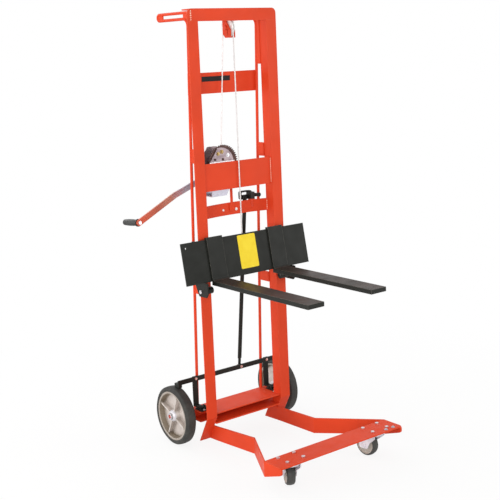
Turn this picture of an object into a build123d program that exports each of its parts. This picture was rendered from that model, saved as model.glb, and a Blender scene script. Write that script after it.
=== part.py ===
from build123d import *
import math
import os

# Winch stacker: a mast frame on wheels, with a fork carriage lifted by a cable winch.
# Millimetres. While modelling, x = 0 is the middle of the mast, y = 0 its front face,
# z = 0 the floor, +Y the operator's side. The finished pieces move together at the end,
# so that the origin is under the middle of the whole object's box.

# Mast frame
mast_height = 1848
mast_half_width = 228
angle_leg = 51
angle_wall = 5
angle_root_radius = 4
top_corner_radius = 22
top_flange_depth = 70
kick_height = 130
kick_bottom = 20
kick_angle = 29

# Crossbars between the masts
upper_bar_drop = 348
upper_bar_height = 88
winch_bar_bottom = 1100
winch_bar_height = 115
winch_bar_front = 10
lower_bar_bottom = 978
lower_bar_height = 53
lower_bar_end = 45
lower_bar_bow = 26
crossbar_wall = 6
strap_x = 1.4
strap_width = 11
strap_wall = 5
strap_top = 1112
strap_foot_width = 25
strap_foot_bottom = 995
strap_foot_height = 34

# Rear rods and push handles
rod_diameter = 12.7
rod_foot_y = 145.6
rod_lean = 0.0443
rod_bend_radius = 30
handle_reach = 300
handle_drop = 6
handle_height = 38
handle_web = 50
handle_crown = 33
handle_web_wall = 6
spacer_wall = 6
top_spacer_height = 190
upper_spacer_bottom = 1216
upper_spacer_height = 59
lower_spacer_bottom = 655
lower_spacer_height = 45

# Axle channel, axle and rear wheels
channel_top = 145
channel_height = 48
channel_front = 8
channel_half_width = 215
channel_wall = 5
axle_diameter = 19
axle_y = 157
wheel_diameter = 254
wheel_width = 52
wheel_outer_x = 310
hub_rim_diameter = 213
hub_boss_diameter = 52
hub_ribs = 4
hub_rib_angle = 24
hub_rib_wall = 6
hub_rib_drop = 8
hub_rib_root = 6
hub_rib_end = 10
hub_inset = 4
hub_rim_wall = 8
hub_rim_taper = 1
hub_web_x = 18
hub_web_wall = 6
hub_web_dish = 2
hub_fillet = 6
hub_nose = 6
hub_nose_draft = 3
hub_nose_round = 5
tyre_shoulder = 12
tyre_crown = 1.5
tyre_round = 9
tyre_bulge = 1
tyre_bead = 3
axle_end = 3
axle_cap = 8
collar_wall = 6
collar_length = 12

# Legs and front plate
leg_wall = 8
leg_straight_half = 164
leg_bend_y = 238
leg_front_half = 318
leg_front_bend_y = 499
leg_front_end_y = 603
leg_foot_top = 80
leg_bend_top = 101
leg_front_top = 124
leg_foot_bottom = 18
leg_bend_bottom = 34
leg_front_bottom = 61
leg_tip_bottom = 96
leg_tip_radius = 12
front_plate_wall = 6

# Casters
caster_inset = 93
caster_setback = 59
caster_plate_x = 104
caster_plate_y = 82
caster_bolt_x = 80
caster_bolt_y = 57
caster_plate_wall = 5
caster_wheel_diameter = 96
caster_wheel_width = 36
caster_trail = 40
caster_yoke_wall = 3.5
caster_axle_diameter = 10
left_caster_angle = 62
right_caster_angle = 98
caster_bolt_diameter = 9
caster_hex_radius = 8
caster_nut_height = 7
caster_plate_corner = 8
swivel_pin_radius = 6
race_radius = 30
race_height = 9
race_chamfer = 2
yoke_side_gap = 2
yoke_cap_wall = 4
yoke_crown_radius = 35
yoke_skirt = 14
yoke_knee = 24
yoke_toe_radius = 13
yoke_heel = 24
caster_tread_wall = 9
caster_boss_radius = 13
caster_boss_flare = 2
caster_web_inset = 4
caster_core_inset = 1
caster_rim_step = 3
tread_round = 4
tread_crown = 2
tread_shoulder = 6

# Sheave and cable
cable_diameter = 5.5
front_cable_y = 3
sheave_pitch_radius = 35
sheave_rim_radius = 41
sheave_width = 13
sheave_drop = 78
sheave_pin_diameter = 12
sheave_cheek_wall = 5
sheave_cheek_gap = 1.5
sheave_groove_gap = 0.3
sheave_lip = 1.5
sheave_lip_flare = 0.6
sheave_rim_round = 2
bracket_front = 6
bracket_rear = 58
bracket_drop = 120
bracket_heel = 16
bracket_cut_y = 28
bracket_cut_z = 84
bracket_slot_y = 26
bracket_slot_low = 14
bracket_slot_length = 20
bracket_slot_radius = 3.5

# Winch
gear_module = 3
gear_teeth = 48
pinion_teeth = 10
gear_width = 6
gear_tooth_root = 2.9
gear_tooth_pitch = 1.95
gear_tooth_tip = 1.0
pinion_tooth_root = 2.1
pinion_tooth_tip = 0.9
gear_addendum = 0.9
gear_dedendum = 1.2
gear_holes = 5
gear_hole_ring = 44.64
gear_hole_radius = 10.7
drum_x = -67
drum_z = 1213
pinion_direction = 247.6
drum_pitch_radius = 25
drum_flange_radius = 65
drum_flange_wall = 3
drum_shaft_diameter = 19
pinion_shaft_diameter = 15.9
winch_plate_wall = 4
winch_plate_bottom = 1074
winch_plate_left = -137
winch_plate_right = -18
winch_plate_heel = 76
winch_plate_knee = 1150
winch_plate_shoulder = 1222
winch_crown_x = -97
winch_crown_z = 1276
winch_round_x = -42
winch_round_z = 1263
winch_rear_plate = 92
winding_turns = 6
winding_gap = 0.6
ratchet_radius = 24
ratchet_teeth = 12
ratchet_width = 6
ratchet_depth = 5
ratchet_gap = 3
pawl_length = 46
pawl_offset = 6
pawl_hub_radius = 9
pawl_tip_width = 7
pawl_heel = 5
pawl_tip_rise = 3
pawl_pin_radius = 4
pawl_head_radius = 7

# Crank
crank_radius = 354
crank_angle = 203.3
crank_y = 154
crank_hub_length = 22
crank_bow_reach = 130
crank_bow = 15
crank_return = 33
crank_boss_diameter = 27
crank_boss_length = 30
crank_bar_width = 25
crank_bar_wall = 8
grip_diameter = 28
grip_length = 88
grip_bolt_diameter = 10
grip_taper = 2
grip_flange = 5
washer_wall = 2
nut_height = 8
grip_nut_height = 5

# Carriage and forks
carriage_half_width = 327
carriage_top_y = -14
carriage_top_z = 907
carriage_bottom_y = -47
carriage_bottom_z = 735
carriage_wall = 6
fork_inner_x = 122
fork_width = 80
fork_top_z = 738
fork_wall = 18
fork_tip_y = -650
fork_shank_wall = 7
fork_hook_height = 8
fork_hook_wall = 4
fork_heel_radius = 14
roller_diameter = 29
roller_bolt_diameter = 10
front_roller_z = 692
rear_roller_z = 880
roller_side_gap = 3
roller_bracket_wall = 6
roller_bracket_bottom = 671
roller_bracket_margin = 4
bracket_nose = 14
bracket_nose_rise = 16
bracket_toe = 2
bracket_slant = 70
bracket_lip = 1.2
roller_chamfer = 1.2
plate_hole_inset = 22
plate_hole_radius = 4
anchor_gap = 2
anchor_width = 26
anchor_z = 868

# Brake
brake_bar_y = 122
brake_bar_z = 277
brake_bar_height = 20
brake_bar_wall = 6
brake_bar_half_width = 288
brake_hinge_y = 88
brake_hinge_z = 157
brake_strut_x = 196
brake_strut_width = 25
brake_strut_wall = 6
brake_pin_diameter = 8
brake_pad_width = 18
brake_pad_rear = 150
brake_pad_bottom = 255
brake_ear_wall = 4
brake_foot_reach = 24
brake_eye_wall = 3.5
pull_rod_x = 52
pull_rod_y = 135
pull_rod_width = 18
pull_rod_wall = 5
pull_rod_gap = 1
pull_rod_eye_width = 12
lever_pivot_x = 112
lever_pivot_z = 1052
lever_pin_x = 82
lever_pin_z = 1040
lever_pin_play = 2.4
lever_wall = 10
lever_loop_x = 58
lever_loop_height = 38
lever_hollow_height = 12
lever_hub_radius = 18
lever_ball_radius = 9
lever_tail = 54
lever_gap = 7
lever_post_half = 10
lever_post_start = 20
lever_post_rise = 12

# Fits
running_clearance = 0.05
side_clearance = 0.4
bolt_head_height = 5
bolt_hex_ratio = 0.9
shaft_nut_ratio = 0.75
pin_head_ratio = 0.8

# Places worked out from the sizes above
web_inner = mast_half_width - angle_leg
rail_bottom = mast_height - angle_leg
handle_top = mast_height - handle_drop
caster_x = leg_front_half - caster_inset
caster_y = leg_front_end_y - caster_setback
sheave_z = mast_height - sheave_drop
bracket_bottom = mast_height - bracket_drop
upper_bar_bottom = mast_height - upper_bar_drop
kick_slope = math.tan(math.radians(kick_angle))
rod_radius = rod_diameter / 2
rod_x = web_inner
wheel_radius = wheel_diameter / 2
axle_radius = axle_diameter / 2
channel_rear = axle_y - axle_radius
channel_bottom = channel_top - channel_height
caster_plate_top = leg_front_top - front_plate_wall
caster_axle_z = caster_wheel_diameter / 2
sheave_y = front_cable_y + sheave_pitch_radius
rear_cable_y = sheave_y + sheave_pitch_radius
cable_radius = cable_diameter / 2
gear_pitch_radius = gear_module * gear_teeth / 2
pinion_pitch_radius = gear_module * pinion_teeth / 2
shaft_distance = gear_pitch_radius + pinion_pitch_radius
pinion_x = drum_x + shaft_distance * math.cos(math.radians(pinion_direction))
pinion_z = drum_z + shaft_distance * math.sin(math.radians(pinion_direction))
winch_plate_front = winch_bar_front + crossbar_wall
gear_front = winch_plate_front + winch_plate_wall + side_clearance
gear_back = gear_front + gear_width
flange_front = winch_rear_plate - side_clearance - drum_flange_wall
crank_slope = crank_return / (crank_radius - crank_bow_reach)
crank_tilt = math.degrees(math.atan(crank_slope))
crank_end_y = crank_y + crank_bow - crank_return
roller_radius = roller_diameter / 2
front_roller_y = -roller_radius - side_clearance
rear_roller_y = angle_wall + roller_radius + side_clearance
bracket_x = mast_half_width + roller_side_gap


def rod_y(z):
    """Middle of a rear rod at height z."""
    return rod_foot_y - rod_lean * (z - channel_top)


def block(x0, x1, y0, y1, z0, z1):
    """Box between two corners."""
    middle = ((x0 + x1) / 2, (y0 + y1) / 2, (z0 + z1) / 2)
    return Pos(*middle) * Box(abs(x1 - x0), abs(y1 - y0), abs(z1 - z0))


def bar(start, end, radius):
    """Round bar between two points."""
    axis = Vector(*end) - Vector(*start)
    face = Plane(origin=start, z_dir=axis) * Circle(radius)
    return extrude(face, amount=axis.length)


def prism_x(points, x0, x1):
    """Outline of (y, z) points, extruded along X."""
    return extrude(Plane.YZ.offset(x0) * make_face(Polyline(*points, close=True)), amount=x1 - x0)


def prism_y(points, y0, y1):
    """Outline of (x, z) points, extruded along Y."""
    plane = Plane(origin=(0, y1, 0), x_dir=(1, 0, 0), z_dir=(0, -1, 0))
    return extrude(plane * make_face(Polyline(*points, close=True)), amount=y1 - y0)


def prism_z(points, z0, z1):
    """Outline of (x, y) points, extruded along Z."""
    return extrude(Plane.XY.offset(z0) * make_face(Polyline(*points, close=True)), amount=z1 - z0)


def disc_y(x, z, y0, y1, radius):
    """Disc or shaft with its axis along Y."""
    return bar((x, y0, z), (x, y1, z), radius)


def disc_x(y, z, x0, x1, radius):
    """Disc or shaft with its axis along X."""
    return bar((x0, y, z), (x1, y, z), radius)


def other_side(piece):
    """The same piece on the other side of the mast."""
    return mirror(piece, about=Plane.YZ)


def mast():
    """Right mast: an angle whose foot kicks back, cut under the top rail."""
    section = make_face(
        Polyline(
            (web_inner, 0),
            (mast_half_width, 0),
            (mast_half_width, angle_wall),
            (web_inner + angle_wall, angle_wall),
            (web_inner + angle_wall, angle_leg),
            (web_inner, angle_leg),
            close=True,
        )
    )
    inner_corner = section.vertices().sort_by_distance((web_inner + angle_wall, angle_wall, 0))[0]
    section = fillet(inner_corner, angle_root_radius)
    upright = extrude(Pos(0, 0, kick_height) * section, amount=mast_height - angle_wall - kick_height)
    rail_space = block(
        web_inner - 1, mast_half_width + 1, -1, angle_wall, rail_bottom, mast_height
    )
    kick_drop = kick_height - kick_bottom
    foot = extrude(
        Pos(0, 0, kick_height) * section,
        amount=kick_drop * math.hypot(1, kick_slope),
        dir=(0, kick_slope, -1),
    )
    return upright - rail_space + foot


def top_rail():
    """Angle across the mast tops, with rounded outer corners."""
    half = mast_half_width
    face = Rectangle(2 * half, angle_leg)
    corners = face.vertices().group_by(Axis.Y)[-1]
    face = fillet(corners, top_corner_radius)
    plane = Plane(origin=(0, angle_wall, mast_height - angle_leg / 2), x_dir=(1, 0, 0), z_dir=(0, -1, 0))
    front = extrude(plane * face, amount=angle_wall)
    flange_half = half - top_corner_radius
    flange = block(
        -flange_half, flange_half, angle_wall, top_flange_depth, mast_height - angle_wall, mast_height
    )
    return front + flange


def upper_crossbar():
    """Plate behind the two rear rods, leaning with them."""
    middle_z = upper_bar_bottom + upper_bar_height / 2
    middle_y = rod_y(middle_z)
    plate = Pos(0, rod_radius + crossbar_wall / 2, 0) * Box(
        2 * rod_x, crossbar_wall, upper_bar_height
    )
    lean = math.degrees(math.atan(rod_lean))
    return Pos(0, middle_y, middle_z) * Rot(lean, 0, 0) * plate


def winch_crossbar():
    """Flat plate between the webs that carries the winch."""
    return block(
        -web_inner,
        web_inner,
        winch_bar_front,
        winch_bar_front + crossbar_wall,
        winch_bar_bottom,
        winch_bar_bottom + winch_bar_height,
    )


def lower_bar_y(x):
    """Front face of the bowed lower crossbar at x."""
    radius = (web_inner**2 + lower_bar_bow**2) / (2 * lower_bar_bow)
    return lower_bar_end + lower_bar_bow - radius + math.sqrt(radius**2 - x**2)


def lower_crossbar():
    """Plate between the webs, bowed back in plan."""
    front = lower_bar_end
    back = front + crossbar_wall
    near = ThreePointArc((-web_inner, front), (0, front + lower_bar_bow), (web_inner, front))
    far = ThreePointArc((web_inner, back), (0, back + lower_bar_bow), (-web_inner, back))
    ends = [Line(near @ 1, far @ 0), Line(far @ 1, near @ 0)]
    plan = make_face([near, far] + ends)
    return extrude(Pos(0, 0, lower_bar_bottom) * plan, amount=lower_bar_height)


def winch_strap():
    """Strap from the winch crossbar back and down to a foot on the lower crossbar."""
    left = strap_x - strap_width / 2
    foot_left = strap_x - strap_foot_width / 2
    back = lower_bar_y(foot_left + strap_foot_width)
    front = back - strap_wall
    upright = block(left, left + strap_width, front, back, strap_foot_bottom, strap_top)
    foot = block(
        foot_left,
        foot_left + strap_foot_width,
        front,
        back,
        strap_foot_bottom,
        strap_foot_bottom + strap_foot_height,
    )
    rear = winch_bar_front + crossbar_wall
    arm = block(left, left + strap_width, rear, back, strap_top - strap_wall, strap_top)
    return upright + foot + arm


def rear_rod():
    """Right rear rod: up from the axle channel, then back into the handle loop and home."""
    handle_low = handle_top - handle_height + rod_radius
    handle_high = handle_top - rod_radius
    turn = (handle_high - handle_low) / 2
    foot = Vector(rod_x, rod_y(channel_top), channel_top)
    corner = Vector(rod_x, rod_y(handle_low), handle_low)
    reach = handle_reach - rod_radius - turn
    back = Vector(rod_x, reach, handle_low)
    upright = FilletPolyline(foot, corner, back, radius=rod_bend_radius)
    crown = ThreePointArc(
        back, (rod_x, reach + turn, handle_low + turn), (rod_x, reach, handle_high)
    )
    home = Line((rod_x, reach, handle_high), (rod_x, angle_leg, handle_high))
    path = upright + crown + home
    start = Plane(origin=foot, z_dir=corner - foot)
    rod = sweep(start * Circle(rod_radius), path=path)
    inner = rod_x - handle_web_wall / 2
    outer = rod_x + handle_web_wall / 2
    root = block(inner, outer, angle_leg, angle_leg + handle_web, handle_low, handle_high)
    crown_end = handle_reach - rod_diameter
    infill = block(inner, outer, crown_end - handle_crown, crown_end, handle_low, handle_high)
    below_channel = block(
        rod_x - rod_diameter, rod_x + rod_diameter, 0, channel_rear, channel_bottom, channel_top
    )
    return rod + root + infill - below_channel


def rod_spacers(rod):
    """Plates that tie the right rear rod to the mast web."""
    plates = []
    spacers = [
        (upper_spacer_bottom, upper_spacer_height),
        (lower_spacer_bottom, lower_spacer_height),
        (handle_top - handle_height - top_spacer_height, top_spacer_height),
    ]
    for bottom, height in spacers:
        outline = [
            (angle_leg, bottom),
            (rod_y(bottom), bottom),
            (rod_y(bottom + height), bottom + height),
            (angle_leg, bottom + height),
        ]
        plate = prism_x(outline, rod_x - spacer_wall / 2, rod_x + spacer_wall / 2) - rod
        plates.append(plate.solids().sort_by(Axis.Y)[0])
    return plates


def axle_channel():
    """Channel open to the front, notched round the mast webs."""
    outline = [
        (channel_front, channel_top),
        (channel_rear, channel_top),
        (channel_rear, channel_bottom),
        (channel_front, channel_bottom),
        (channel_front, channel_bottom + channel_wall),
        (channel_rear - channel_wall, channel_bottom + channel_wall),
        (channel_rear - channel_wall, channel_top - channel_wall),
        (channel_front, channel_top - channel_wall),
    ]
    channel = prism_x(outline, -channel_half_width, channel_half_width)
    kick_back = (kick_height - channel_bottom) * kick_slope
    notch = block(
        web_inner, channel_half_width + 1, 0, angle_leg + kick_back + 2, 0, channel_top + 1
    )
    return channel - notch - other_side(notch)


def axle():
    """Axle across both wheels, welded along the channel's back."""
    end = wheel_outer_x + axle_end
    return disc_x(axle_y, wheel_radius, -end, end, axle_radius)


def axle_collars():
    """Collars inside the wheels and open caps on the axle ends."""
    radius = axle_radius + collar_wall
    inner = wheel_outer_x - wheel_width - side_clearance
    outer = wheel_outer_x + side_clearance
    bore = disc_x(axle_y, wheel_radius, 0, wheel_outer_x + axle_cap, axle_radius)
    collar = disc_x(axle_y, wheel_radius, inner - collar_length, inner, radius) - bore
    cap = disc_x(axle_y, wheel_radius, outer, wheel_outer_x + axle_cap, radius) - bore
    return [collar, cap, other_side(collar), other_side(cap)]


def leg():
    """Right leg: a bent flat bar that widens to the front plate and ends in a round nose."""
    rear_x = web_inner - leg_wall
    kick_run = (kick_height - leg_foot_bottom) * kick_slope
    rear_y = kick_run + angle_leg
    plan_line = [
        (rear_x, rear_y),
        (rear_x, 0),
        (leg_straight_half - leg_wall / 2, -leg_bend_y),
        (leg_front_half - leg_wall / 2, -leg_front_bend_y),
        (leg_front_half - leg_wall / 2, -leg_front_end_y),
    ]
    outside = [
        (web_inner, rear_y),
        (web_inner, 0),
        (leg_straight_half + leg_wall / 2, -leg_bend_y - leg_wall * 0.3),
        (leg_front_half + leg_wall / 2, -leg_front_bend_y - leg_wall * 0.3),
        (leg_front_half + leg_wall / 2, -leg_front_end_y),
    ]
    plan = prism_z(plan_line + outside[::-1], 0, channel_top)
    top_rear_y = rear_y - (leg_foot_top - leg_foot_bottom) * kick_slope
    side = make_face(
        Polyline(
            (rear_y, leg_foot_bottom),
            (top_rear_y, leg_foot_top),
            (-leg_bend_y, leg_bend_top),
            (-leg_front_bend_y, leg_front_top),
            (-leg_front_end_y, leg_front_top),
            (-leg_front_end_y, leg_tip_bottom),
            (-leg_front_bend_y, leg_front_bottom),
            (-leg_bend_y, leg_bend_bottom),
            close=True,
        )
    )
    nose = side.vertices().group_by(Axis.X)[0]
    side = fillet(nose, leg_tip_radius)
    return plan & extrude(Plane.YZ * side, amount=mast_half_width * 2)


def front_plate():
    """Plate between the legs that carries the casters."""
    half = leg_front_half - leg_wall / 2
    rear = -leg_front_bend_y
    top = leg_front_top
    plate = block(-half, half, -leg_front_end_y, rear, top - front_plate_wall, top)
    return plate


def sheave_bracket():
    """Two cheeks under the top rail, cut back in front and joined above the sheave."""
    top = mast_height - angle_wall
    cut_y = bracket_front + bracket_cut_y
    cut_z = top - bracket_cut_z
    outline = [
        (bracket_front, bracket_bottom),
        (bracket_rear - bracket_heel, bracket_bottom),
        (bracket_rear, bracket_bottom + bracket_heel),
        (bracket_rear, top),
        (cut_y, top),
        (cut_y, rail_bottom),
        (bracket_front, cut_z),
    ]
    inner = sheave_width / 2 + sheave_cheek_gap
    outer = inner + sheave_cheek_wall
    cheek = prism_x(outline, inner, outer)
    cheek -= disc_x(sheave_y, sheave_z, 0, 2 * outer, sheave_pin_diameter / 2)
    slot_low = bracket_bottom + bracket_slot_low
    slot_high = slot_low + bracket_slot_length
    slot = block(
        0,
        2 * outer,
        bracket_slot_y - bracket_slot_radius,
        bracket_slot_y + bracket_slot_radius,
        slot_low,
        slot_high,
    )
    for end in (slot_low, slot_high):
        slot += disc_x(bracket_slot_y, end, 0, 2 * outer, bracket_slot_radius)
    cheek -= slot
    bridge_bottom = sheave_z + sheave_rim_radius + sheave_cheek_wall
    bridge = block(-inner, inner, cut_y, bracket_rear, bridge_bottom, top)
    return cheek + other_side(cheek) + bridge


def sheave_pin():
    """Pin of the sheave, with a head on each side."""
    outer = sheave_width / 2 + sheave_cheek_gap + sheave_cheek_wall
    pin = disc_x(sheave_y, sheave_z, -outer, outer, sheave_pin_diameter / 2)
    head_radius = sheave_pin_diameter * pin_head_ratio
    head = disc_x(sheave_y, sheave_z, outer, outer + bolt_head_height, head_radius)
    return pin + head + other_side(head)


def sheave():
    """Grooved wheel that the cable runs over."""
    half = sheave_width / 2
    groove = cable_radius + sheave_groove_gap
    floor = sheave_pitch_radius - groove
    bore = sheave_pin_diameter / 2 + running_clearance
    shoulder = sheave_rim_radius - sheave_rim_round
    upper = [(half - sheave_lip, sheave_rim_radius), (half, shoulder), (half, bore)]
    lower = [(-half, bore), (-half, shoulder), (-half + sheave_lip, sheave_rim_radius)]
    left = (-groove - sheave_lip_flare, sheave_pitch_radius + sheave_lip)
    right = (groove + sheave_lip_flare, sheave_pitch_radius + sheave_lip)
    outline = Polyline(right, *upper, *lower, left)
    valley = ThreePointArc(left, (0, floor), right)
    face = make_face(outline + valley)
    ring = revolve(face, Axis.X)
    return Pos(0, sheave_y, sheave_z) * ring


def toothed_disc(teeth, half_root, half_pitch, half_tip, phase):
    """Gear face about the origin: straight-sided teeth, one of them centred on phase."""
    pitch_radius = gear_module * teeth / 2
    root = pitch_radius - gear_dedendum * gear_module
    tip = pitch_radius + gear_addendum * gear_module
    points = []
    for index in range(teeth):
        middle = math.radians(phase) + 2 * math.pi * index / teeth
        flanks = [(root, -half_root), (pitch_radius, -half_pitch), (tip, -half_tip)]
        flanks += [(tip, half_tip), (pitch_radius, half_pitch), (root, half_root)]
        for radius, offset in flanks:
            angle = middle + offset / radius
            points.append((radius * math.cos(angle), radius * math.sin(angle)))
    return make_face(Polyline(*points, close=True))


def along_y(face, x, z, y0, y1):
    """Extrude a face drawn in (x, z) along Y, placed at x and z."""
    plane = Plane(origin=(x, y1, z), x_dir=(1, 0, 0), z_dir=(0, -1, 0))
    return extrude(plane * face, amount=y1 - y0)


def drum_gear():
    """Large gear, with a raised hub and lightening holes."""
    face = toothed_disc(gear_teeth, gear_tooth_root, gear_tooth_pitch, gear_tooth_tip, pinion_direction)
    face -= PolarLocations(gear_hole_ring, gear_holes) * Circle(gear_hole_radius)
    face -= Circle(drum_shaft_diameter / 2)
    return along_y(face, drum_x, drum_z, gear_front, gear_back)


def drum():
    """Plain core between the gear and the rear flange."""
    core_radius = drum_pitch_radius - cable_radius - sheave_groove_gap
    core = disc_y(drum_x, drum_z, gear_back, flange_front, core_radius)
    flange = disc_y(drum_x, drum_z, flange_front, flange_front + drum_flange_wall, drum_flange_radius)
    shaft = disc_y(drum_x, drum_z, 0, 2 * winch_rear_plate, drum_shaft_diameter / 2)
    return core + flange - shaft


def drum_shaft():
    """Shaft of the drum, turning in both winch plates."""
    front = winch_plate_front
    back = winch_rear_plate + winch_plate_wall
    end = back + washer_wall
    shaft = disc_y(drum_x, drum_z, front, end, drum_shaft_diameter / 2)
    hexagon = RegularPolygon(drum_shaft_diameter * shaft_nut_ratio, 6)
    nut = along_y(hexagon, drum_x, drum_z, end, end + nut_height)
    return shaft + nut


def biarc(start, start_way, end, end_way):
    """Two arcs that join a point and direction to another point and direction."""
    chord = end - start
    ways = start_way + end_way
    spread = 1 - start_way.dot(end_way)
    reach = chord.dot(ways)
    root = math.sqrt(reach**2 + 2 * spread * chord.dot(chord))
    length = (root - reach) / (2 * spread)
    near = start + start_way * length
    far = end - end_way * length
    middle = (near + far) * 0.5
    first = TangentArc(start, middle, tangent=start_way)
    second = TangentArc(middle, end, tangent=far - near)
    return [first, second]


def winding_point(turn, pitch):
    """Place and direction of the cable on the drum after a number of turns."""
    angle = 2 * math.pi * turn
    radius = drum_pitch_radius
    start_y = gear_back + cable_radius + winding_gap
    rise = pitch / (2 * math.pi)
    place = Vector(
        drum_x + radius * math.cos(angle), start_y + pitch * turn, drum_z + radius * math.sin(angle)
    )
    way = Vector(-radius * math.sin(angle), rise, radius * math.cos(angle)).normalized()
    return place, way


def drum_winding():
    """Outer layer of cable on the drum, one tube of quarter-turn arcs."""
    pitch = cable_diameter + winding_gap
    edges = []
    quarters = winding_turns * 4
    for quarter in range(quarters):
        start, start_way = winding_point(quarter / 4, pitch)
        end, end_way = winding_point((quarter + 1) / 4, pitch)
        edges += biarc(start, start_way, end, end_way)
    first, first_way = winding_point(0, pitch)
    last, last_way = winding_point(winding_turns, pitch)
    edges.insert(0, Line(first - first_way * cable_diameter, first))
    edges.append(Line(last, last + last_way * cable_diameter))
    path = Wire([edge.edge() for edge in edges])
    samples = [path.position_at(step / 400) for step in range(401)]
    near = min(
        (a - b).length for i, a in enumerate(samples) for b in samples[i + 40:]
    )
    print("least gap of the cable layer to itself", round(near - cable_diameter, 3))
    section = Plane(origin=path @ 0, z_dir=path % 0) * Circle(cable_radius)
    return sweep(section, path=path)


def upper_cable():
    """Cable from the drum up to the sheave, over it and down its front."""
    run_y = rear_cable_y
    lean = math.atan2(-drum_x - drum_pitch_radius, sheave_z - drum_z)
    axis = Vector(drum_x, run_y, drum_z)
    leave = axis + Vector(math.cos(lean), 0, -math.sin(lean)) * drum_pitch_radius
    under = axis + Vector(-math.sin(lean), 0, -math.cos(lean)) * drum_pitch_radius
    half_way = lean + math.pi / 4
    turn = axis + Vector(math.cos(half_way), 0, -math.sin(half_way)) * drum_pitch_radius
    run_way = Vector(math.sin(lean), 0, math.cos(lean))
    lead = sheave_pitch_radius
    run_top = Vector(0, run_y, sheave_z) - run_way * lead
    slope = math.pi / 6
    sheave_axis = Vector(0, sheave_y, sheave_z)
    over = sheave_axis + Vector(0, math.cos(slope), math.sin(slope)) * sheave_pitch_radius
    over_way = Vector(0, -math.sin(slope), math.cos(slope))
    crown = sheave_axis + Vector(0, 0, sheave_pitch_radius)
    front = sheave_axis - Vector(0, sheave_pitch_radius, 0)
    shoulder = math.radians(105)
    top = sheave_axis + Vector(0, math.cos(shoulder), math.sin(shoulder)) * sheave_pitch_radius
    edges = [ThreePointArc(under, turn, leave), Line(leave, run_top)]
    edges += biarc(run_top, run_way, over, over_way)
    edges += [ThreePointArc(over, top, front), Line(front, front - Vector(0, 0, cable_diameter))]
    path = Wire([edge.edge() for edge in edges])
    section = Plane(origin=path @ 0, z_dir=path % 0) * Circle(cable_radius)
    return sweep(section, path=path)


def front_cable():
    """Cable from the front of the sheave straight down to the carriage."""
    top = sheave_z - cable_diameter
    return bar((0, front_cable_y, anchor_z), (0, front_cable_y, top), cable_radius)


def winch_frame():
    """Two round-topped plates and a base, with bearing holes for both shafts."""
    low = winch_plate_bottom
    left = winch_plate_left
    right = winch_plate_right
    crown = (winch_crown_x, winch_crown_z)
    shoulder = (right, winch_plate_shoulder)
    heel = left + winch_plate_heel
    sides = Polyline(
        shoulder, (right, winch_plate_knee), (heel, low), (left, low), (left, winch_plate_shoulder), crown
    )
    over = ThreePointArc(crown, (winch_round_x, winch_round_z), shoulder)
    face = make_face(sides + over)
    rear = winch_rear_plate + winch_plate_wall
    front = along_y(face, 0, 0, winch_plate_front, winch_plate_front + winch_plate_wall)
    back = along_y(face, 0, 0, winch_rear_plate, rear)
    base = block(left, heel, winch_plate_front, rear, low, low + winch_plate_wall)
    frame = front + back + base
    drum_bore = drum_shaft_diameter / 2 + running_clearance
    pinion_bore = pinion_shaft_diameter / 2 + running_clearance
    frame -= disc_y(drum_x, drum_z, 0, 2 * rear, drum_bore)
    frame -= disc_y(pinion_x, pinion_z, 0, 2 * rear, pinion_bore)
    return frame


def pinion():
    """Pinion and its shaft, turned by the crank."""
    phase = pinion_direction + 180 + 180 / pinion_teeth
    face = toothed_disc(pinion_teeth, pinion_tooth_root, gear_tooth_pitch, pinion_tooth_tip, phase)
    teeth = along_y(face, pinion_x, pinion_z, gear_front, gear_back)
    shaft = disc_y(
        pinion_x, pinion_z, winch_plate_front, crank_y + crank_bar_wall / 2, pinion_shaft_diameter / 2
    )
    return teeth + shaft


def ratchet_wheel():
    """Saw-toothed wheel on the pinion shaft, behind the winch."""
    points = []
    for index in range(ratchet_teeth):
        angle = 2 * math.pi * index / ratchet_teeth
        late = angle + 2 * math.pi / ratchet_teeth
        inner = ratchet_radius - ratchet_depth
        points.append((ratchet_radius * math.cos(angle), ratchet_radius * math.sin(angle)))
        points.append((inner * math.cos(late), inner * math.sin(late)))
    face = make_face(Polyline(*points, close=True)) - Circle(pinion_shaft_diameter / 2)
    front = winch_rear_plate + winch_plate_wall + ratchet_gap
    return along_y(face, pinion_x, pinion_z, front, front + ratchet_width)


def pawl_pivot():
    """Place of the pawl's pin."""
    return pinion_x + ratchet_radius + pawl_offset, pinion_z + pawl_length


def pawl():
    """Pawl that drops on the ratchet wheel."""
    x, z = pawl_pivot()
    front = winch_rear_plate + winch_plate_wall + ratchet_gap
    back = front + ratchet_width
    hub = disc_y(x, z, front, back, pawl_hub_radius)
    tip_z = pinion_z + pawl_offset
    left = x - pawl_heel
    outline = [
        (left, z),
        (x + pawl_offset, z),
        (left + pawl_tip_width, tip_z),
        (left, tip_z + pawl_tip_rise),
    ]
    arm = prism_y(outline, front, back)
    return hub + arm - disc_y(x, z, front - 1, back + 1, pawl_pin_radius + running_clearance)


def pawl_pin():
    """Shoulder pin that holds the pawl on the rear plate."""
    x, z = pawl_pivot()
    start = winch_rear_plate + winch_plate_wall
    end = start + ratchet_gap + ratchet_width + side_clearance
    washer = disc_y(x, z, start, start + ratchet_gap - side_clearance, pawl_head_radius)
    head = disc_y(x, z, end, end + bolt_head_height, pawl_head_radius)
    return disc_y(x, z, start, end, pawl_pin_radius) + washer + head


def crank_line():
    """Middle line of the crank arm in (reach, y): hub, outward bow and return to the grip."""
    end = crank_radius + crank_bar_width
    drop = (end - crank_radius) * crank_slope
    return [
        (-crank_bar_width, crank_y),
        (crank_hub_length, crank_y),
        (crank_bow_reach, crank_y + crank_bow),
        (end, crank_end_y - drop),
    ]


def on_crank(piece):
    """Put a piece drawn with its reach along X on the crank's angle at the pinion."""
    return Pos(pinion_x, 0, pinion_z) * Rot(0, -crank_angle, 0) * piece


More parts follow.
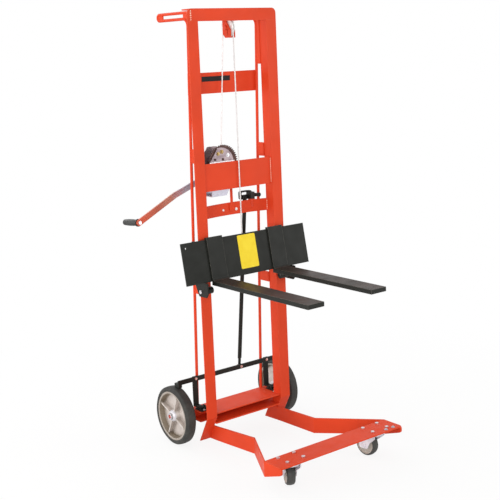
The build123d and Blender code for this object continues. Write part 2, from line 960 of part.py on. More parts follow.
def along_grip(piece):
    """Put a piece drawn along Y at the crank's end, square to the arm there."""
    return on_crank(Pos(crank_radius, crank_end_y, 0) * Rot(0, 0, -crank_tilt) * piece)


def crank_arm():
    """Bowed flat bar from the pinion shaft to the grip, rounded at both ends, with a hub boss."""
    half = crank_bar_wall / 2
    line = crank_line()
    strip_face = make_face(
        Polyline(*[(s, y - half) for s, y in line], *[(s, y + half) for s, y in line[::-1]], close=True)
    )
    strip = extrude(strip_face, amount=crank_bar_width, both=True)
    slot = Pos(crank_radius / 2, 0) * SlotCenterToCenter(crank_radius, crank_bar_width)
    outline = along_y(slot, 0, 0, 0, 2 * crank_y)
    arm = on_crank(strip & outline)
    boss_front = crank_y - half - crank_boss_length
    arm += disc_y(pinion_x, pinion_z, boss_front, crank_y, crank_boss_diameter / 2)
    arm -= disc_y(pinion_x, pinion_z, 0, 2 * crank_y, pinion_shaft_diameter / 2)
    hole = Cylinder(grip_bolt_diameter / 2, 6 * crank_bar_wall, rotation=(90, 0, 0))
    return arm - along_grip(hole)


def crank_nut():
    """Nut and washer that hold the crank on the pinion shaft."""
    start = crank_y + crank_bar_wall / 2
    washer_end = start + washer_wall
    washer = disc_y(pinion_x, pinion_z, start, washer_end, pinion_shaft_diameter * bolt_hex_ratio)
    nut_face = RegularPolygon(pinion_shaft_diameter * shaft_nut_ratio, 6)
    nut = along_y(nut_face, pinion_x, pinion_z, washer_end, washer_end + nut_height)
    return washer + nut


def grip_bolt():
    """Bolt through the crank arm that the grip turns on, with a nut in front of the arm."""
    half = crank_bar_wall / 2
    end = half + side_clearance + grip_length
    radius = grip_bolt_diameter / 2
    shank = disc_y(0, 0, -half, end, radius)
    hexagon = RegularPolygon(grip_bolt_diameter * bolt_hex_ratio, 6)
    nut = along_y(hexagon, 0, 0, -half - grip_nut_height, -half)
    return along_grip(shank + nut)


def crank_grip():
    """Turning grip, swollen in the middle, with a flange at the crank."""
    bore = grip_bolt_diameter / 2 + running_clearance
    radius = grip_diameter / 2
    waist = radius - grip_taper
    near = (waist, grip_flange + grip_taper)
    ends = Polyline(
        (waist, grip_length),
        (bore, grip_length),
        (bore, 0),
        (radius + grip_taper, 0),
        (radius + grip_taper, grip_flange),
        near,
    )
    swell = ThreePointArc(near, (radius, grip_length / 2), (waist, grip_length))
    solid = revolve(make_face(ends + swell), Axis.Y)
    return along_grip(Pos(0, crank_bar_wall / 2 + side_clearance, 0) * solid)


def plate_back_y(z):
    """Back face of the leaning carriage plate at height z."""
    slope = (carriage_top_y - carriage_bottom_y) / (carriage_top_z - carriage_bottom_z)
    return carriage_top_y + (z - carriage_top_z) * slope + carriage_wall * math.hypot(1, slope)


def plate_axes():
    """Top and bottom of the plate's front face, its upward way and its backward way, in (y, z)."""
    top = Vector(carriage_top_y, carriage_top_z)
    bottom = Vector(carriage_bottom_y, carriage_bottom_z)
    up = (top - bottom).normalized()
    back = Vector(up.Y, -up.X)
    return top, bottom, up, back


def as_pairs(vectors):
    """Vectors as plain (x, y) pairs."""
    return [(vector.X, vector.Y) for vector in vectors]


def carriage_plate():
    """Wide leaning plate that the forks hang on."""
    top, bottom, up, back = plate_axes()
    outline = [top, bottom, bottom + back * carriage_wall, top + back * carriage_wall]
    plate = prism_x(as_pairs(outline), -carriage_half_width, carriage_half_width)
    hole_x = -carriage_half_width + plate_hole_inset
    hole_z = carriage_top_z - plate_hole_inset
    hole = bar((hole_x, carriage_bottom_y, hole_z), (hole_x, angle_leg, hole_z), plate_hole_radius)
    return plate - hole


def fork():
    """Right fork: hook over the plate, shank in front of it and level blade."""
    top, bottom, up, back = plate_axes()
    hook_back = carriage_wall + fork_hook_wall
    hook_drop = up * (-2 * fork_hook_height)
    blade_low = fork_top_z - fork_wall
    front_top = top - back * fork_shank_wall
    shank_slope = up.X / up.Y
    heel_y = front_top.X + (fork_top_z - front_top.Y) * shank_slope
    outline = as_pairs(
        [
            front_top + up * fork_hook_height,
            top + up * fork_hook_height + back * hook_back,
            top + hook_drop + back * hook_back,
            top + hook_drop + back * carriage_wall,
            top + back * carriage_wall,
            top,
            bottom,
        ]
    )
    outline += [
        (carriage_bottom_y, blade_low),
        (fork_tip_y, blade_low),
        (fork_tip_y, fork_top_z),
        (heel_y, fork_top_z),
    ]
    face = make_face(Polyline(*outline, close=True))
    heel = face.vertices().sort_by_distance((heel_y, fork_top_z, 0))[0]
    face = fillet(heel, fork_heel_radius)
    return extrude(Plane.YZ.offset(fork_inner_x) * face, amount=fork_width)


def roller_bracket():
    """Right side plate behind the carriage plate that carries a front and a rear roller."""
    rear = rear_roller_y + roller_radius + roller_bracket_margin
    top_z = rear_roller_z + roller_radius + roller_bracket_margin
    nose = carriage_bottom_y - bracket_nose
    low = roller_bracket_bottom
    outline = [
        (nose, low + bracket_nose_rise),
        (carriage_bottom_y - bracket_toe, low),
        (front_roller_y + bracket_nose_rise, low),
        (rear, low + bracket_slant),
        (rear, top_z),
        (plate_back_y(top_z), top_z),
        (plate_back_y(carriage_bottom_z), carriage_bottom_z - bracket_lip),
        (nose, carriage_bottom_z - bracket_toe),
    ]
    plate = prism_x(outline, bracket_x, bracket_x + roller_bracket_wall)
    top, bottom, up, back = plate_axes()
    over = top + up * angle_leg + back * carriage_wall
    under = bottom - up * bracket_lip + back * carriage_wall
    ahead = back * angle_leg
    outside = bracket_x + 2 * roller_bracket_wall
    plate -= prism_x(as_pairs([over, under, under - ahead, over - ahead]), bracket_x - 1, outside)
    for y, z in [(front_roller_y, front_roller_z), (rear_roller_y, rear_roller_z)]:
        plate -= disc_x(y, z, bracket_x - 1, outside, roller_bolt_diameter / 2)
    return plate.solids().sort_by(SortBy.VOLUME)[-1]


def roller(y, z, inner_x):
    """Roller on the right mast flange, with slightly rounded rims."""
    outer_x = bracket_x - side_clearance
    body = disc_x(y, z, inner_x, outer_x, roller_radius)
    body = chamfer(body.edges().filter_by(GeomType.CIRCLE), roller_chamfer)
    return body - disc_x(y, z, inner_x - 1, outer_x + 1, roller_bolt_diameter / 2 + running_clearance)


def roller_bolts(inner_x):
    """Bolts of the two right rollers, with heads outside the bracket."""
    bolts = []
    outer = bracket_x + roller_bracket_wall
    hexagon = RegularPolygon(roller_bolt_diameter * bolt_hex_ratio, 6)
    for y, z in [(front_roller_y, front_roller_z), (rear_roller_y, rear_roller_z)]:
        shank = disc_x(y, z, inner_x - 1, outer, roller_bolt_diameter / 2)
        plane = Plane(origin=(outer, y, z), x_dir=(0, 1, 0), z_dir=(1, 0, 0))
        head = extrude(plane * hexagon, amount=bolt_head_height)
        bolts.append(shank + head)
    return bolts


def cable_anchor():
    """Lug behind the carriage plate that the cable ends on."""
    low = anchor_z - anchor_width
    back = winch_bar_front - anchor_gap
    outline = [(plate_back_y(low), low), (back, low), (back, anchor_z), (plate_back_y(anchor_z), anchor_z)]
    return prism_x(outline, -anchor_width / 2, anchor_width / 2)


def hub():
    """Right cast hub: rim, thin web, boss and radial ribs on the outside."""
    inner = wheel_outer_x - wheel_width
    rim = hub_rim_diameter / 2
    boss = hub_boss_diameter / 2
    bore = axle_radius + running_clearance
    web_back = inner + hub_web_x
    web_face = web_back + hub_web_wall
    outline = [
        (inner + hub_inset, rim),
        (wheel_outer_x - hub_inset, rim),
        (wheel_outer_x - hub_inset, rim - hub_rim_wall),
        (web_face, rim - hub_rim_wall - hub_fillet),
        (web_face - hub_web_dish, boss + hub_fillet),
        (wheel_outer_x - hub_nose, boss - hub_nose_draft),
        (wheel_outer_x, boss - hub_nose_draft - hub_nose_round),
        (wheel_outer_x, bore),
        (inner, bore),
        (inner, boss - hub_inset),
        (web_back - hub_web_dish, boss + hub_inset),
        (web_back, rim - hub_rim_wall - hub_inset),
        (inner + hub_inset, rim - hub_rim_wall + hub_rim_taper),
    ]
    body = revolve(make_face(Polyline(*outline, close=True)), Axis.X)
    rib_face = make_face(
        Polyline(
            (boss - hub_rib_root, wheel_outer_x - hub_rib_drop),
            (rim - hub_rib_end, wheel_outer_x - hub_rib_drop + hub_rim_taper),
            (rim - hub_rib_end, web_back + hub_web_dish),
            (boss - hub_rib_root, web_back + hub_web_dish),
            close=True,
        )
    )
    rib = extrude(Plane.ZX * rib_face, amount=hub_rib_wall / 2, both=True)
    for index in range(hub_ribs):
        body += Rot(hub_rib_angle + 360 * index / hub_ribs, 0, 0) * rib
    return Pos(0, axle_y, wheel_radius) * body


def tyre():
    """Right tyre: solid rubber with round shoulders and a slightly crowned tread."""
    inner = wheel_outer_x - wheel_width
    rim = hub_rim_diameter / 2
    middle = wheel_outer_x - wheel_width / 2
    shoulder = wheel_radius - tyre_shoulder
    tread = wheel_radius - tyre_crown
    inner_edge = (inner + tyre_round, tread)
    outer_edge = (wheel_outer_x - tyre_round, tread)
    outer_bead = (wheel_outer_x - tyre_bead, rim)
    sides = Polyline(inner_edge, (inner + tyre_bulge, shoulder), (inner + tyre_bead, rim), outer_bead)
    outer = Polyline(outer_bead, (wheel_outer_x - tyre_bulge, shoulder), outer_edge)
    crown = ThreePointArc(outer_edge, (middle, wheel_radius), inner_edge)
    body = revolve(make_face(sides + outer + crown), Axis.X)
    return Pos(0, axle_y, wheel_radius) * body


def caster_spots():
    """Places of the four bolts of the right caster."""
    spots = []
    for side_x in (-0.5, 0.5):
        for side_y in (-0.5, 0.5):
            spots.append((caster_x + side_x * caster_bolt_x, -caster_y + side_y * caster_bolt_y))
    return spots


def caster_bolt(x, y):
    """Bolt through the front plate and the caster plate."""
    low = caster_plate_top - caster_plate_wall
    hexagon = RegularPolygon(caster_hex_radius, 6)
    shank = bar((x, y, low), (x, y, leg_front_top), caster_bolt_diameter / 2)
    head = Pos(x, y, leg_front_top) * extrude(hexagon, amount=bolt_head_height)
    nut = Pos(x, y, low - caster_nut_height) * extrude(hexagon, amount=caster_nut_height)
    return shank + head + nut


def caster_plate():
    """Right caster's fixed plate."""
    low = caster_plate_top - caster_plate_wall
    face = RectangleRounded(caster_plate_x, caster_plate_y, caster_plate_corner)
    face -= Circle(swivel_pin_radius + running_clearance)
    plate = extrude(Pos(caster_x, -caster_y, low) * face, amount=caster_plate_wall)
    for x, y in caster_spots():
        plate -= bar((x, y, low - 1), (x, y, caster_plate_top + 1), caster_bolt_diameter / 2)
    return plate


def placed_caster(piece, side, angle):
    """Turn a caster piece about its swivel and put it under its plate."""
    return Pos(side * caster_x, -caster_y, 0) * Rot(0, 0, angle) * piece


def caster_yoke():
    """Swivel head, round crown and two legs that draw in to the wheel, trailing along +X."""
    roof = caster_plate_top - caster_plate_wall - side_clearance
    deck = roof - race_height
    half = caster_wheel_width / 2 + yoke_side_gap
    outer = half + caster_yoke_wall
    crown = yoke_crown_radius
    skirt_z = deck - yoke_skirt
    knee_z = caster_axle_z + yoke_knee
    toe_z = caster_axle_z - yoke_toe_radius
    pin = bar((0, 0, deck), (0, 0, caster_plate_top - 1), swivel_pin_radius)
    race = bar((0, 0, deck), (0, 0, roof), race_radius)
    race = chamfer(race.edges().group_by(Axis.Z)[-1], race_chamfer)
    cap = bar((0, 0, deck - yoke_cap_wall), (0, 0, deck), crown)
    bend = [
        (crown, deck),
        (crown, skirt_z),
        (outer, knee_z),
        (outer, toe_z),
        (half, toe_z),
        (half, knee_z),
        (crown - caster_yoke_wall, skirt_z),
        (crown - caster_yoke_wall, deck),
    ]
    sheet = prism_x(bend, -crown, caster_trail + crown)
    shape = [
        (-yoke_heel, deck),
        (-yoke_heel, skirt_z),
        (caster_trail - yoke_toe_radius, caster_axle_z),
        (caster_trail + yoke_toe_radius, caster_axle_z),
        (yoke_heel, deck),
    ]
    side = prism_y(shape, 0, crown)
    axle_line = ((caster_trail, 0, caster_axle_z), (caster_trail, crown, caster_axle_z))
    side += bar(*axle_line, yoke_toe_radius)
    leg_sheet = sheet & side
    leg_sheet -= bar(*axle_line, caster_axle_diameter / 2)
    return pin + race + cap + leg_sheet + mirror(leg_sheet, about=Plane.XZ)


def caster_axle():
    """Bolt through the yoke's legs."""
    end = caster_wheel_width / 2 + yoke_side_gap + caster_yoke_wall
    place = (caster_trail, 0, caster_axle_z)
    radius = caster_axle_diameter / 2
    shank = bar((place[0], -end, place[2]), (place[0], end, place[2]), radius)
    plane = Plane(origin=(place[0], end, place[2]), x_dir=(1, 0, 0), z_dir=(0, 1, 0))
    head = extrude(plane * RegularPolygon(radius * 1.7, 6), amount=bolt_head_height)
    return shank + head + mirror(head, about=Plane.XZ)


def caster_hub():
    """Light core of a caster wheel."""
    half = caster_wheel_width / 2
    bore = caster_axle_diameter / 2 + running_clearance
    rim = caster_wheel_diameter / 2 - caster_tread_wall
    web = -half + caster_web_inset
    edge = -half + caster_core_inset
    step = rim - caster_rim_step
    outline = [
        (-half, bore),
        (-half, caster_boss_radius),
        (web, caster_boss_radius + caster_boss_flare),
        (web, step - caster_boss_flare),
        (edge, step),
        (edge, rim),
    ]
    outline += [(-x, r) for x, r in outline[::-1]]
    body = revolve(make_face(Polyline(*outline, close=True)), Axis.X)
    return Pos(caster_trail, 0, caster_axle_z) * Rot(0, 0, 90) * body


def caster_tread():
    """Rounded tread of a caster wheel."""
    half = caster_wheel_width / 2 - caster_core_inset
    radius = caster_wheel_diameter / 2
    rim = radius - caster_tread_wall
    shoulder = radius - tread_shoulder
    left = (-half + tread_round, radius - tread_crown)
    right = (half - tread_round, radius - tread_crown)
    sides = Polyline(left, (-half, shoulder), (-half, rim), (half, rim))
    outer = Polyline((half, rim), (half, shoulder), right)
    crown = ThreePointArc(right, (0, radius), left)
    body = revolve(make_face(sides + outer + crown), Axis.X)
    return Pos(caster_trail, 0, caster_axle_z) * Rot(0, 0, 90) * body


def strut_span():
    """Inner and outer edge of the right brake strut."""
    return brake_strut_x - brake_strut_width / 2, brake_strut_x + brake_strut_width / 2


def brake_bar():
    """Bar across both wheels with end pads over the treads, two L-shaped hinged struts and a clevis."""
    half = brake_bar_half_width
    front = brake_bar_y - brake_bar_wall / 2
    back = brake_bar_y + brake_bar_wall / 2
    low = brake_bar_z - brake_bar_height / 2
    beam = block(-half, half, front, back, low, low + brake_bar_height)
    pad = block(half - brake_pad_width, half, front, brake_pad_rear, brake_pad_bottom, low + brake_bar_wall)
    beam += pad + other_side(pad)
    inner, outer = strut_span()
    eye = brake_pin_diameter / 2 + brake_eye_wall
    wall = brake_strut_wall
    top = low + brake_bar_height
    outline = [
        (back, top),
        (back + wall, top),
        (back + wall, brake_hinge_z - wall / 2),
        (brake_hinge_y, brake_hinge_z - wall / 2),
        (brake_hinge_y, brake_hinge_z + wall / 2),
        (back, brake_hinge_z + wall / 2),
    ]
    strut = prism_x(outline, inner, outer) + disc_x(brake_hinge_y, brake_hinge_z, inner, outer, eye)
    hinge_bore = brake_pin_diameter / 2 + running_clearance
    strut -= disc_x(brake_hinge_y, brake_hinge_z, inner - 1, outer + 1, hinge_bore)
    beam += strut + other_side(strut)
    ear_inner = pull_rod_eye_width / 2 + side_clearance
    ear_outer = ear_inner + brake_ear_wall
    for side in (-1, 1):
        plate = block(
            pull_rod_x + side * ear_inner,
            pull_rod_x + side * ear_outer,
            back,
            pull_rod_y,
            brake_bar_z - eye,
            brake_bar_z + eye,
        )
        ear_x = sorted([pull_rod_x + side * ear_inner, pull_rod_x + side * ear_outer])
        plate += disc_x(pull_rod_y, brake_bar_z, *ear_x, eye)
        beam += plate
    far = 2 * ear_outer
    pin_radius = brake_pin_diameter / 2
    return beam - disc_x(pull_rod_y, brake_bar_z, pull_rod_x - far, pull_rod_x + far, pin_radius)


def brake_foot():
    """Right foot on the axle channel: base, two ears and the hinge pin."""
    inner, outer = strut_span()
    ear = brake_ear_wall
    base_top = channel_top + ear
    x0 = inner - side_clearance - ear
    x1 = outer + side_clearance + ear
    eye = brake_pin_diameter
    base = block(
        x0, x1, brake_hinge_y - brake_foot_reach, brake_hinge_y + brake_foot_reach, channel_top, base_top
    )
    outline = [
        (brake_hinge_y - 2 * eye, base_top),
        (brake_hinge_y + 2 * eye, base_top),
        (brake_hinge_y + eye, brake_hinge_z + eye),
        (brake_hinge_y - eye, brake_hinge_z + eye),
    ]
    ears = prism_x(outline, x0, x0 + ear) + prism_x(outline, x1 - ear, x1)
    pin = disc_x(brake_hinge_y, brake_hinge_z, x0 - ear, x1 + ear, brake_pin_diameter / 2)
    return base + ears + pin


def pull_rod():
    """Flat rod from the clevis on the brake bar up to the hand lever, with an eye at each end."""
    foot = Vector(pull_rod_x, pull_rod_y, brake_bar_z)
    head = Vector(lever_pin_x, lever_front() - pull_rod_gap - pull_rod_wall / 2, lever_pin_z)
    way = (head - foot).normalized()
    side = Vector(way.Z, 0, -way.X).normalized()
    length = (head - foot).length
    plane = Plane(origin=foot, x_dir=side, z_dir=side.cross(way))
    big_eye = pull_rod_width / 2 + lever_pin_play
    strip = Pos(0, length / 2) * Rectangle(pull_rod_width, length)
    neck = Pos(0, pull_rod_width) * Rectangle(pull_rod_width, 2 * pull_rod_width)
    stem = Pos(0, pull_rod_width) * Rectangle(pull_rod_eye_width, 2 * pull_rod_width)
    face = strip - neck + stem + Pos(0, length) * Circle(big_eye)
    face -= Pos(0, length) * Circle(brake_pin_diameter / 2 + lever_pin_play)
    rod = extrude(plane * face, amount=pull_rod_wall / 2, both=True)
    eye_left = pull_rod_x - pull_rod_eye_width / 2
    eye_right = pull_rod_x + pull_rod_eye_width / 2
    beside = block(eye_left, eye_right, 0, 2 * pull_rod_y, 0, brake_bar_z + 2 * pull_rod_width)
    above = block(0, 2 * lever_pin_x, 0, 2 * pull_rod_y, brake_bar_z + pull_rod_width, mast_height)
    rod = rod & (beside + above)
    eye = disc_x(pull_rod_y, brake_bar_z, eye_left, eye_right, brake_pin_diameter / 2 + brake_eye_wall)
    bore = disc_x(pull_rod_y, brake_bar_z, 0, 2 * eye_right, brake_pin_diameter / 2 + running_clearance)
    return rod + eye - bore


def rod_pin():
    """Pin through the clevis that the pull rod turns on, with a head at each end."""
    reach = pull_rod_eye_width / 2 + side_clearance + brake_ear_wall
    radius = brake_pin_diameter / 2
    head = brake_pin_diameter * pin_head_ratio
    pin = disc_x(pull_rod_y, brake_bar_z, pull_rod_x - reach, pull_rod_x + reach, radius)
    for start, end in [(-reach - washer_wall, -reach), (reach, reach + washer_wall)]:
        pin += disc_x(pull_rod_y, brake_bar_z, pull_rod_x + start, pull_rod_x + end, head)
    return pin


def lever_front():
    """Front face of the hand lever, behind the lower crossbar."""
    return lower_bar_end + lower_bar_bow + crossbar_wall + lever_gap


def hand_lever():
    """Brake lever: hub, looped grip on the left, a ball end on the right and the rod's pin."""
    front = lever_front()
    back = front + lever_wall
    x = lever_pivot_x
    z = lever_pivot_z
    reach = x - lever_loop_x
    loop = Pos(-reach / 2, 0) * RectangleRounded(reach, lever_loop_height, lever_loop_height / 4)
    hollow = Pos(-reach / 2, lever_hollow_height / 2) * RectangleRounded(
        reach * 0.6, lever_hollow_height, lever_hollow_height / 3
    )
    tail = make_face(
        Polyline(
            (0, lever_hub_radius / 2),
            (lever_tail, -lever_ball_radius / 4),
            (lever_tail, -1.5 * lever_ball_radius),
            (0, -lever_hub_radius * 0.8),
            close=True,
        )
    )
    face = Circle(lever_hub_radius) + loop - hollow + tail
    face += Pos(lever_tail, -lever_ball_radius * 0.9) * Circle(lever_ball_radius)
    face -= Circle(brake_pin_diameter / 2 + running_clearance)
    lever = along_y(face, x, z, front, back)
    reach_front = front - pull_rod_wall - 2 * pull_rod_gap
    pin = disc_y(lever_pin_x, lever_pin_z, reach_front, front, brake_pin_diameter / 2)
    boss = disc_y(lever_pin_x, lever_pin_z, front, back, brake_pin_diameter)
    return lever + pin + boss


def lever_bracket(crossbar):
    """Post behind the lower crossbar with the lever's pivot bolt."""
    front = lower_bar_end
    back = lever_front() - side_clearance
    x = lever_pivot_x
    z = lever_pivot_z
    left = x - lever_post_half
    right = x + lever_post_half
    low = lower_bar_bottom + lever_post_start
    post = block(left, right, front, back, low, z + lever_post_rise) - crossbar
    above = block(left - 1, right + 1, 0, lower_bar_y(x), 0, mast_height)
    post = (post - above).solids().sort_by(SortBy.VOLUME)[-1]
    end = lever_front() + lever_wall + side_clearance
    bolt = disc_y(x, z, back, end, brake_pin_diameter / 2)
    hexagon = RegularPolygon(brake_pin_diameter * bolt_hex_ratio, 6)
    head = along_y(hexagon, x, z, end, end + bolt_head_height)
    return post + bolt + head


def build():
    """All pieces by name."""
    pieces = {}
    both = {
        "mast": mast(),
        "rear_rod": rear_rod(),
        "leg": leg(),
        "fork": fork(),
        "hub": hub(),
        "tyre": tyre(),
    }
    for name, piece in both.items():
        pieces[name + "_right"] = piece
        pieces[name + "_left"] = other_side(piece)
    spacers = rod_spacers(both["rear_rod"])
    pieces["rod_spacers"] = spacers + [other_side(plate) for plate in spacers]
    pieces["top_rail"] = top_rail()
    pieces["upper_crossbar"] = upper_crossbar()
    pieces["winch_crossbar"] = winch_crossbar()
    pieces["lower_crossbar"] = lower_crossbar()
    pieces["winch_strap"] = winch_strap()
    pieces["axle_channel"] = axle_channel()
    pieces["axle"] = axle()
    pieces["axle_collars"] = axle_collars()
    plate = front_plate()
    bolts = [caster_bolt(x, y) for x, y in caster_spots()]
    bolts += [other_side(bolt) for bolt in bolts]
    for bolt in bolts:
        plate -= bolt
    pieces["front_plate"] = plate
    pieces["caster_bolts"] = bolts
    pieces["caster_plates"] = [caster_plate(), other_side(caster_plate())]
    for name, side, angle in [("left", -1, left_caster_angle), ("right", 1, right_caster_angle)]:
        yoke = placed_caster(caster_yoke(), side, angle)
        pieces["caster_yoke_" + name] = [yoke, placed_caster(caster_axle(), side, angle)]
        pieces["caster_hub_" + name] = placed_caster(caster_hub(), side, angle)
        pieces["caster_tread_" + name] = placed_caster(caster_tread(), side, angle)
    pieces["sheave_bracket"] = sheave_bracket()
    pieces["frame_pins"] = [sheave_pin(), pawl_pin()]
    pieces["sheave"] = sheave()
    pieces["winch_frame"] = winch_frame()
    pieces["drum"] = drum()
    pieces["drum_gear"] = drum_gear()
    pieces["drum_shaft"] = drum_shaft()
    pieces["drum_winding"] = drum_winding()
    pieces["pinion"] = pinion()
    pieces["ratchet_wheel"] = ratchet_wheel()
    pieces["pawl"] = pawl()
    pieces["crank_arm"] = crank_arm()
    pieces["crank_fasteners"] = [crank_nut(), grip_bolt()]
    pieces["crank_grip"] = crank_grip()
    pieces["upper_cable"] = upper_cable()
    pieces["front_cable"] = front_cable()
    pieces["carriage_plate"] = carriage_plate()
    pieces["cable_anchor"] = cable_anchor()
    bracket = roller_bracket()
    pieces["roller_brackets"] = [bracket, other_side(bracket)]
    front_inner = web_inner + angle_wall
    rear_inner = front_inner + angle_root_radius + 1
    front_roller = roller(front_roller_y, front_roller_z, front_inner)
    rear_roller = roller(rear_roller_y, rear_roller_z, rear_inner)
    pieces["front_roller_right"] = front_roller
    pieces["front_roller_left"] = other_side(front_roller)
    pieces["rear_roller_right"] = rear_roller
    pieces["rear_roller_left"] = other_side(rear_roller)
    bolts = roller_bolts(rear_inner)
    pieces["roller_bolts"] = bolts + [other_side(bolt) for bolt in bolts]
    foot = brake_foot()
    pieces["brake_feet"] = [foot, other_side(foot)]
    pieces["brake_bar"] = brake_bar()
    pieces["rod_pin"] = rod_pin()
    pieces["pull_rod"] = pull_rod()
    pieces["hand_lever"] = hand_lever()
    pieces["lever_bracket"] = lever_bracket(pieces["lower_crossbar"])
    return pieces


def whole(piece):
    """One shape from a piece or from a group of separate solids."""
    if isinstance(piece, list):
        solids = [solid for member in piece for solid in member.solids()]
        return Compound(solids)
    return Compound(piece.solids())


def main():
    shapes = {name: whole(piece) for name, piece in build().items()}
    box = Compound(list(shapes.values())).bounding_box()
    middle = box.center()
    origin = Pos(-middle.X, -middle.Y, -box.min.Z)
    print("moved by", round(-middle.X, 4), round(-middle.Y, 4), round(-box.min.Z, 4))
    os.makedirs("parts", exist_ok=True)
    for name, shape in shapes.items():
        export_step(origin * shape, "parts/" + name + ".step")


main()
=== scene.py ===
import math

import bpy
from mathutils import Matrix, Vector


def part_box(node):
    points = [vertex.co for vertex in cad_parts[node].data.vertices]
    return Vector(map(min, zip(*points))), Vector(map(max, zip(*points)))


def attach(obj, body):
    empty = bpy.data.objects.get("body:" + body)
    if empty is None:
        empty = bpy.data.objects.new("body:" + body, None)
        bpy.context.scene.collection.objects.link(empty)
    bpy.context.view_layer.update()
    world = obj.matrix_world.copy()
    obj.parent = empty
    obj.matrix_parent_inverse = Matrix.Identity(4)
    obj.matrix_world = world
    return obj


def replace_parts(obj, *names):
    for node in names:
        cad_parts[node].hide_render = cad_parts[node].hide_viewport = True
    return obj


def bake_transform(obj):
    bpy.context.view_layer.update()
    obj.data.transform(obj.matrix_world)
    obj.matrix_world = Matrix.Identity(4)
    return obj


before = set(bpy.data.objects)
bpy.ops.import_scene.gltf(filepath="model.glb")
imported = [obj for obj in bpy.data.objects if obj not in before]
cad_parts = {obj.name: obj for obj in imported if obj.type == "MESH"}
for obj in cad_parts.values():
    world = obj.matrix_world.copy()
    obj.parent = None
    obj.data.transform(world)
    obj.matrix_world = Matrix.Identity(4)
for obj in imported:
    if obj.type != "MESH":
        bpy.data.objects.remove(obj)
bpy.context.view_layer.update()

MM = 0.001
rail_low, rail_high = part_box("top_rail")
mid_x = (rail_low.x + rail_high.x) / 2
face_y = rail_low.y
right = Vector((1, 0, 0))
forward = Vector((0, -1, 0))
upward = Vector((0, 0, 1))
both_sides = (("left", -1), ("right", 1))


def at(x, y, z):
    """Point given in millimetres from the mast's middle, its front face and the floor."""
    return Vector((mid_x + x * MM, face_y + y * MM, z * MM))


def extent(name):
    """Lowest and highest corner of a CAD node, in the millimetres that at() takes."""
    return [(corner - at(0, 0, 0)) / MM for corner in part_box(name)]


def middle(name):
    """Middle of a CAD node's box."""
    low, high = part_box(name)
    return (low + high) / 2


# Camera, at the photo's angle
camera_place = at(-2588.4, -3442.2, 1668.6)
yaw, pitch, roll = math.radians(37.428), math.radians(8.879), math.radians(-2.438)
ahead = Vector((math.sin(yaw) * math.cos(pitch), math.cos(yaw) * math.cos(pitch), -math.sin(pitch)))
level = Vector((math.cos(yaw), -math.sin(yaw), 0))
above = level.cross(ahead)
image_right = math.cos(roll) * level + math.sin(roll) * above
image_up = -math.sin(roll) * level + math.cos(roll) * above
camera_turn = Matrix((image_right, image_up, -ahead)).transposed().to_4x4()
camera = bpy.data.objects.new("camera", bpy.data.cameras.new("camera"))
bpy.context.scene.collection.objects.link(camera)
camera.data.lens = 73.84
camera.data.sensor_width = 36
camera.data.shift_y = -0.0767
camera.data.clip_end = 60
camera.matrix_world = Matrix.Translation(camera_place) @ camera_turn
bpy.context.scene.camera = camera


